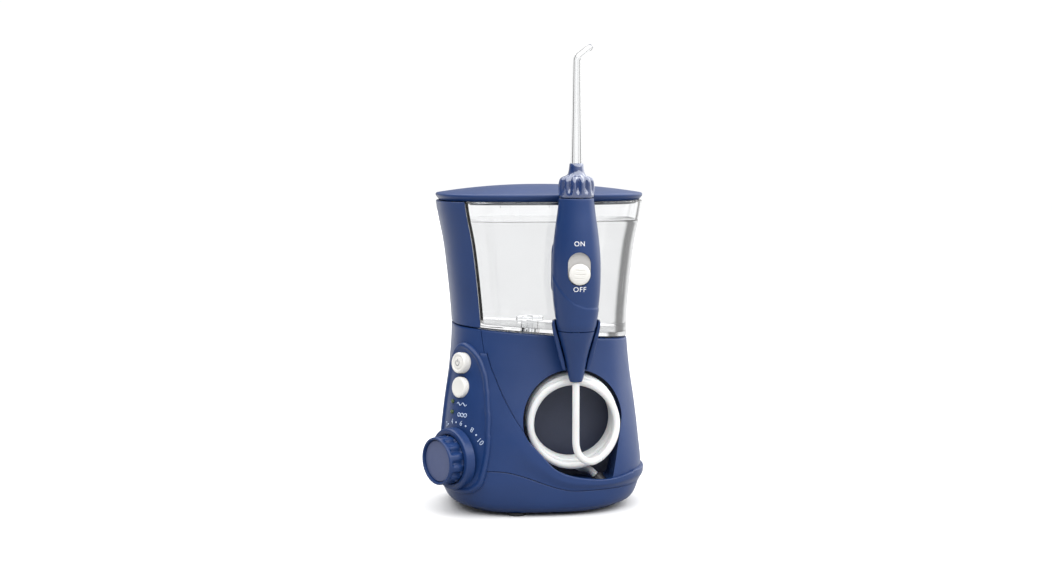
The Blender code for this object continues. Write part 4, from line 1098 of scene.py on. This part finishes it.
def lid():
    rows = [(176.3, 1.75), (176.9, 1.3), (178.3, 0.25), (178.8, 0.05), (179.3, 0.0), (179.75, 0.12),
            (180.1, 0.45), (180.25, 0.9)]
    edge = [skin_ring(level(z), level(z), 0, inset) for z, inset in rows]
    dome = []
    under = []
    for shares, low, rise, rings in ((np.linspace(0.97, 0.01, 34), 180.25, 4.75, dome),
                                     (np.linspace(0.01, 0.94, 14), 178.7, 4.6, under)):
        for share in shares:
            ring = edge[-1].copy()
            ring[:, :2] *= share
            ring[:, 2] = low + rise * (1 - share**2)
            rings.append(ring)
    under.append(skin_ring(level(178.2), level(178.2), 0, 2.6))
    under.append(skin_ring(level(176.4), level(176.4), 0, 2.9))
    made = loft("lid_cover", under + edge + dome)
    knuckle = turned("knuckle", ((2.3, -11.6), (2.3, 11.6)), (0, HINGE_Y, HINGE_Z), (1, 0, 0), 48)
    web = box("web", (-11.6, 41.9, 177.1), (11.6, HINGE_Y, 179.3))
    bore = turned("bore", ((1.4, -14), (1.4, 14)), (0, HINGE_Y, HINGE_Z), (1, 0, 0), 32)
    cut(made, web, knuckle, operation="UNION")
    piece(cut(made, bore), "lid", "navy_plastic", "lid", sharp=30)

    walls = ((3.3, 174.4), (3.3, 178.0), (4.5, 178.0), (4.5, 174.7), (4.3, 174.4), (3.5, 174.3))
    rings = [tank_ring(level(z), level(z), 0, inset) for inset, z in walls]
    piece(loft("lid_skirt_wall", rings, wrap=True), "lid", "smoke_plastic", "lid_skirt", sharp=30)


# ---------------------------------------------------------------- handle and tip

# The grip's radius, as height and radius.
GRIP = np.array(((105.2, 10.45), (112.0, 11.5), (119.0, 12.5), (127.5, 13.25), (136.0, 13.55),
                 (147.0, 13.35), (160.0, 12.05), (171.0, 10.5), (178.6, 9.7)))
GRIP_LINE = curve_through(GRIP, 0.5)
# The sweeping line round the grip, as turn from the front in degrees and height.
STEP_LINE = np.array(((-180, 117), (-140, 123), (-100, 141), (-61, 131.7), (-36, 125.2), (-12, 120.8),
                      (17, 118.4), (48, 118.0), (90, 117.6), (180, 117)))


def grip_radius(z):
    return np.interp(z, GRIP_LINE[:, 0], GRIP_LINE[:, 1])


def front_angle(angles):
    """Turn about the handle from its front towards the right, in degrees."""
    return (np.degrees(angles) + 90 + 180) % 360 - 180


def grip_step(angles, radii, height):
    """The lower part of the grip stands a little proud below a sweeping line."""
    turn = front_angle(angles)
    line = np.interp(turn, STEP_LINE[:, 0], STEP_LINE[:, 1])
    hide = smooth((np.abs(turn + 112) - 22) / 16)
    return radii + 0.38 * hide * (1 - smooth((height - line + 0.45) / 0.9)) * smooth((height - 105.4) / 3.0)


def side_pad(name, half_width, half_height, rings):
    """Upright rounded pad on the handle's side, from rings of (inset, reach past the grip)."""
    a = math.radians(EJECT_AZIMUTH)
    side = np.array((-math.sin(a), -math.cos(a), 0.0))
    across = np.array((-side[1], side[0], 0.0))
    made = []
    for inset, past in rings:
        flat = stadium(half_width - inset, -half_height + inset, half_height - inset)
        reach = np.sqrt((grip_radius(EJECT_Z + flat[:, 1]) + past) ** 2 - flat[:, 0] ** 2)
        made.append(np.array((HANDLE_X, HANDLE_Y, EJECT_Z)) + side * reach[:, None] + across * flat[:, :1]
                    + np.stack([0 * reach, 0 * reach, flat[:, 1]], 1))
    return loft(name, made)


def grip():
    heights = np.linspace(105.2, 178.0, 150)
    outer = [(float(grip_radius(105.2)) - 0.35, 105.2), (float(grip_radius(105.5)) - 0.05, 105.45)]
    outer += [(float(grip_radius(z)), float(z)) for z in heights[2:]]
    outer += [(9.62, 178.35), (9.3, 178.6), (4.5, 178.6), (4.5, 176.6)]
    inner = [(float(grip_radius(z)) - 2.0, float(z)) for z in np.linspace(176.6, 105.2, 40)]

    def step(angles, radii, height):
        if (radii < grip_radius(height) - 0.5).all():
            return radii
        return grip_step(angles, radii, height)

    made = turned("grip", outer + inner, HANDLE_AXIS, steps=200, wrap=True, shape=step)
    slot = slab("slot", stadium(SWITCH_RADIUS + 0.5, *SWITCH_SLOT) + (HANDLE_X, 0), -72, -60)
    window = side_pad("window", 4.8, 13.8, ((0.0, -5.0), (0.0, 5.0)))
    piece(cut(made, slot, window), "handle", "navy_plastic", "handle_body", sharp=33)


def tip_release():
    face = ((0.0, -4.2), (0.0, -0.35), (0.12, 0.1), (0.45, 0.4), (1.1, 0.55), (2.0, 0.5), (2.6, 0.2),
            (3.3, 0.1), (4.2, 0.1))
    pad = side_pad("tip_release", 4.4, 13.4, face)
    piece(pad, "eject_button", "navy_plastic", "eject_button", sharp=40)


def tail():
    line = curve_through(((10.4, 104.9), (8.4, 98), (6.5, 91), (5.0, 83.5), (4.3, 79.5), (3.6, 77.0)), 0.7)
    profile = [(10.0, 105.0), *[(float(r), float(z)) for r, z in line], (3.0, 76.5), (2.6, 76.4),
               (2.3, 76.6), (2.3, 79), (3.5, 84), (5.0, 91), (6.9, 98), (8.6, 104.8)]
    made = turned("tail_cone", profile, HANDLE_AXIS, steps=128, wrap=True)
    piece(made, "handle", "navy_plastic", "handle_tail")


def switch():
    bed = stadium(SWITCH_RADIUS + 0.35, SWITCH_SLOT[0] + 0.15, SWITCH_SLOT[1] - 0.15) + (HANDLE_X, 0)
    lip = stadium(SWITCH_RADIUS - 0.35, SWITCH_SLOT[0] + 0.85, SWITCH_SLOT[1] - 0.85) + (HANDLE_X, 0)
    rings = [np.stack([flat[:, 0], np.full(len(flat), HANDLE_Y - reach), flat[:, 1]], 1)
             for flat, reach in ((bed, 9.9), (bed, 11.6), (lip, 11.25))]
    made = loft("switch_bed", rings)
    piece(made, "handle", "grey_plastic", "switch_liner")

    rim = SWITCH_RADIUS - 0.05
    made = turned("switch_slider", ((1.2, 11.75), (rim - 0.3, 11.75), (rim, 12.05), (rim, 13.6),
                                    (rim - 0.15, 14.05), (rim - 0.55, 14.4), (4.4, 14.7), (2.5, 14.95),
                                    (0.3, 15.0)), (HANDLE_X, HANDLE_Y, SWITCH_Z), (0, -1, 0), 96)
    lines = []
    for z, half in ((2.3, 2.6), (0.0, 3.2), (-2.3, 2.6)):
        path = [(HANDLE_X + half * t, HANDLE_Y - 15.05, SWITCH_Z + z + 0.25 * t * t)
                for t in np.linspace(-1, 1, 9)]
        lines.append(tube("line", path, 0.42, 10))
    piece(cut(made, *lines), "pause_switch", "white_plastic", "pause_switch")


def switch_marks():
    for name, words, z in (("mark_on", "ON", 154.0), ("mark_off", "OFF", 129.0)):
        points, faces = letters(words, 2.7)
        placed = []
        for x, y, depth in points:
            radius = float(grip_radius(z + y)) + 0.05 + depth
            turn = x / 13.0
            placed.append((HANDLE_X + radius * math.sin(turn), HANDLE_Y - radius * math.cos(turn), z + y))
        piece(build(name, placed, faces), "handle", "white_plastic", look=INK, sharp=60)


def handle():
    grip()
    tip_release()
    tail()
    switch()
    switch_marks()


def collar():
    def flutes(angles, radii, height):
        depth = 1.9 * smooth((height - 181.0) / 2.5) * (radii > 5.0)
        return radii - depth * (radii - 4.6) / 5.3 * (0.5 + 0.5 * np.cos(12 * angles + 0.4)) ** 1.6

    upper = [(3.45, 197.5), (3.6, 197.75), (3.85, 197.5), (4.05, 195.5), (4.35, 193.4), (4.75, 192.0),
             (5.6, 191.2)]
    petals = [(6.8, 190.7), (8.0, 190.3), (8.9, 189.6), (9.45, 188.7), (9.8, 187.4), (10.0, 185.8),
              (10.0, 184.0), (9.95, 182.2), (9.9, 180.6), (9.8, 179.7), (9.3, 179.1)]
    lower = [(4.2, 179.0), (4.2, 171.0), (3.6, 171.0)]
    made = turned("tip_grip", upper + petals + lower, HANDLE_AXIS, steps=160, wrap=True, shape=flutes)
    piece(made, "tip_collar", "collar_plastic", "tip_collar", sharp=40)


TIP_BEND_Z = 255.5
TIP_BEND = 52.0
TIP_REACH = 8.7


def jet_tip():
    """Clear hollow tip: a tapering tube with a bend and a fine bore."""
    path = [(HANDLE_X, HANDLE_Y, z) for z in np.linspace(172, TIP_BEND_Z - 2, 60)]
    for a in np.radians(np.linspace(0, TIP_BEND, 12)[1:]):
        path.append((HANDLE_X + 4 * (1 - math.cos(a)), HANDLE_Y, TIP_BEND_Z - 2 + 4 * math.sin(a)))
    a = math.radians(TIP_BEND)
    way = np.array((math.sin(a), 0, math.cos(a)))
    for reach in (2.0, 4.0, 6.0, 7.6, 8.4, TIP_REACH):
        path.append(tuple(np.array(path[70]) + way * reach))
    path = np.array(path)
    length = np.concatenate([[0.0], np.cumsum(np.linalg.norm(np.diff(path, axis=0), axis=1))])
    outer = np.interp(length, (0, 26, 53, 81.5, 85, 92, length[-1] - 0.6, length[-1]),
                      (3.2, 3.2, 2.6, 2.1, 2.0, 1.85, 1.55, 1.2))
    inner = np.interp(length, (0, 26, 53, 81.5, length[-1]), (1.3, 1.25, 1.0, 0.75, 0.45))
    rings = tube_rings(path, outer, 40) + tube_rings(path, inner, 40)[::-1]
    piece(loft("clear_tip", rings, wrap=True), "jet_tip", "clear_plastic", "jet_tip", sharp=40)


# ---------------------------------------------------------------- light and floor

GLOSS_LEFT = 0.05
GLOSS_RIGHT = 1.25
GLOSS_BEHIND = 0.4
GLOSS_BEHIND_SIDE = 1.75
DIFFUSE_SKY = 0.5
SEEN_SKY = 1.03
CLEAR_SKY = 1.06
CARD_SKY = 0.2
CARD_MIDDLE = 0.1
CARD_START = (0.4, 0.48)
CARD_END = (0.58, 0.68)
BEHIND_EDGE = 0.15
SUN_STRENGTH = 6.0
SUN_ANGLE = 120
SUN_WAY = (-0.16, 0.14, -1.0)
FLOOR_ALBEDO = 0.4
FLOOR_SEEN = 0.75


def world_light():
    """A white surround whose strength depends on direction and on the kind of ray that meets it.

    Gloss sees it dark on the left and bright on the right. What is seen through clear parts meets two
    upright dark cards, one to each side, which give the tank its dark edges. No real light does this.
    """
    scene_world = bpy.data.worlds.new("studio")
    bpy.context.scene.world = scene_world
    scene_world.use_nodes = True
    tree = scene_world.node_tree
    path = tree.nodes.new("ShaderNodeLightPath")
    place = tree.nodes.new("ShaderNodeTexCoord")
    parts = tree.nodes.new("ShaderNodeSeparateXYZ")
    tree.links.new(place.outputs["Generated"], parts.inputs["Vector"])
    x, y = parts.outputs["X"], parts.outputs["Y"]

    def math_node(operation, *values):
        node = tree.nodes.new("ShaderNodeMath")
        node.operation = operation
        for value, socket in zip(values, node.inputs):
            feed(tree, value, socket)
        return node.outputs["Value"]

    def choose(test, when, otherwise):
        node = tree.nodes.new("ShaderNodeMix")
        node.data_type = "FLOAT"
        for value, name in ((test, "Factor"), (otherwise, "A"), (when, "B")):
            feed(tree, value, node.inputs[name])
        return node.outputs["Result"]

    def spread(value, start, end, low, high, kind="LINEAR"):
        node = tree.nodes.new("ShaderNodeMapRange")
        node.interpolation_type = kind
        limits = (("From Min", start), ("From Max", end), ("To Min", low), ("To Max", high))
        for name, limit in (("Value", value), *limits):
            feed(tree, limit, node.inputs[name])
        return node.outputs["Result"]

    behind = spread(y, -BEHIND_EDGE, BEHIND_EDGE, 0.0, 1.0)
    width = math_node("MULTIPLY_ADD", math_node("ABSOLUTE", x), GLOSS_BEHIND_SIDE, GLOSS_BEHIND)
    gloss = math_node("MULTIPLY", spread(x, -1.0, 1.0, GLOSS_LEFT, GLOSS_RIGHT), choose(behind, width, 1.0))
    sideways = math_node("ABSOLUTE", math_node("SUBTRACT", x, CARD_MIDDLE))
    card = spread(sideways, *CARD_START, CLEAR_SKY, CARD_SKY, "SMOOTHSTEP")
    through = choose(spread(sideways, *CARD_END, 0.0, 1.0, "SMOOTHSTEP"), 1.0, card)
    strength = choose(path.outputs["Is Glossy Ray"], gloss, SEEN_SKY)
    strength = choose(path.outputs["Is Transmission Ray"], through, strength)
    strength = choose(path.outputs["Is Diffuse Ray"], DIFFUSE_SKY, strength)
    sky = tree.nodes["Background"]
    sky.inputs["Color"].default_value = (1, 1, 1, 1)
    tree.links.new(strength, sky.inputs["Strength"])


def floor_look():
    """Pale paper: bright to the eye, dimmer as a light source, and not seen through clear parts."""
    n = Nodes("floor")
    path = n.tree.nodes.new("ShaderNodeLightPath")
    albedo = n.tree.nodes.new("ShaderNodeMix")
    albedo.data_type = "FLOAT"
    albedo.inputs["A"].default_value = FLOOR_ALBEDO
    albedo.inputs["B"].default_value = FLOOR_SEEN
    n.tree.links.new(path.outputs["Is Camera Ray"], albedo.inputs["Factor"])
    tint = n.tree.nodes.new("ShaderNodeVectorMath")
    tint.operation = "SCALE"
    n.tree.links.new(n.ramp(n.noise(3.0, 2.0), (0.99, 0.99, 0.99), (1, 1, 1)), tint.inputs["Vector"])
    n.tree.links.new(albedo.outputs["Result"], tint.inputs["Scale"])
    invert = n.tree.nodes.new("ShaderNodeMath")
    invert.operation = "SUBTRACT"
    invert.inputs[0].default_value = 1.0
    n.tree.links.new(path.outputs["Is Transmission Ray"], invert.inputs[1])
    return n.set(Base_Color=tint.outputs["Vector"], Alpha=invert.outputs["Value"],
                 Roughness=n.spread(n.noise(200.0), 0.75, 0.85), Normal=n.bump(n.noise(900.0), 0.00002, 0.3))


def studio():
    bpy.context.scene.view_settings.view_transform = "Standard"
    world_light()
    data = bpy.data.lights.new("softbox", "SUN")
    data.energy = SUN_STRENGTH
    data.angle = math.radians(SUN_ANGLE)
    sun = bpy.data.objects.new("softbox", data)
    bpy.context.scene.collection.objects.link(sun)
    sun.rotation_euler = Vector(SUN_WAY).to_track_quat("-Z", "Y").to_euler()

    angles = np.linspace(0, 2 * math.pi, 96, endpoint=False)
    rings = [np.stack([r * np.cos(angles), r * np.sin(angles), np.full(96, z)], 1) - UNIT_SHIFT
             for r, z in ((4000.0, -3.0), (4000.0, 0.0), (300.0, 0.0), (2.0, 0.0))]
    floor = loft("floor", rings)
    floor.data.materials.append(floor_look())


# ---------------------------------------------------------------- the whole scene

def finish_cad_nodes():
    """The CAD nodes that stay get the looks of their slots."""
    slots = {row["node"]: row["material_slot"] for row in frame["record"]["subparts"]}
    for name, node in frame["nodes"].items():
        node.data.materials.clear()
        node.data.materials.append(VALVE if name == "reservoir_valve" else LOOKS[slots[name]])


finish_cad_nodes()
base()
panel()
dial()
buttons()
lamps()
marks()
reservoir()
lid()
handle()
collar()
jet_tip()
studio()
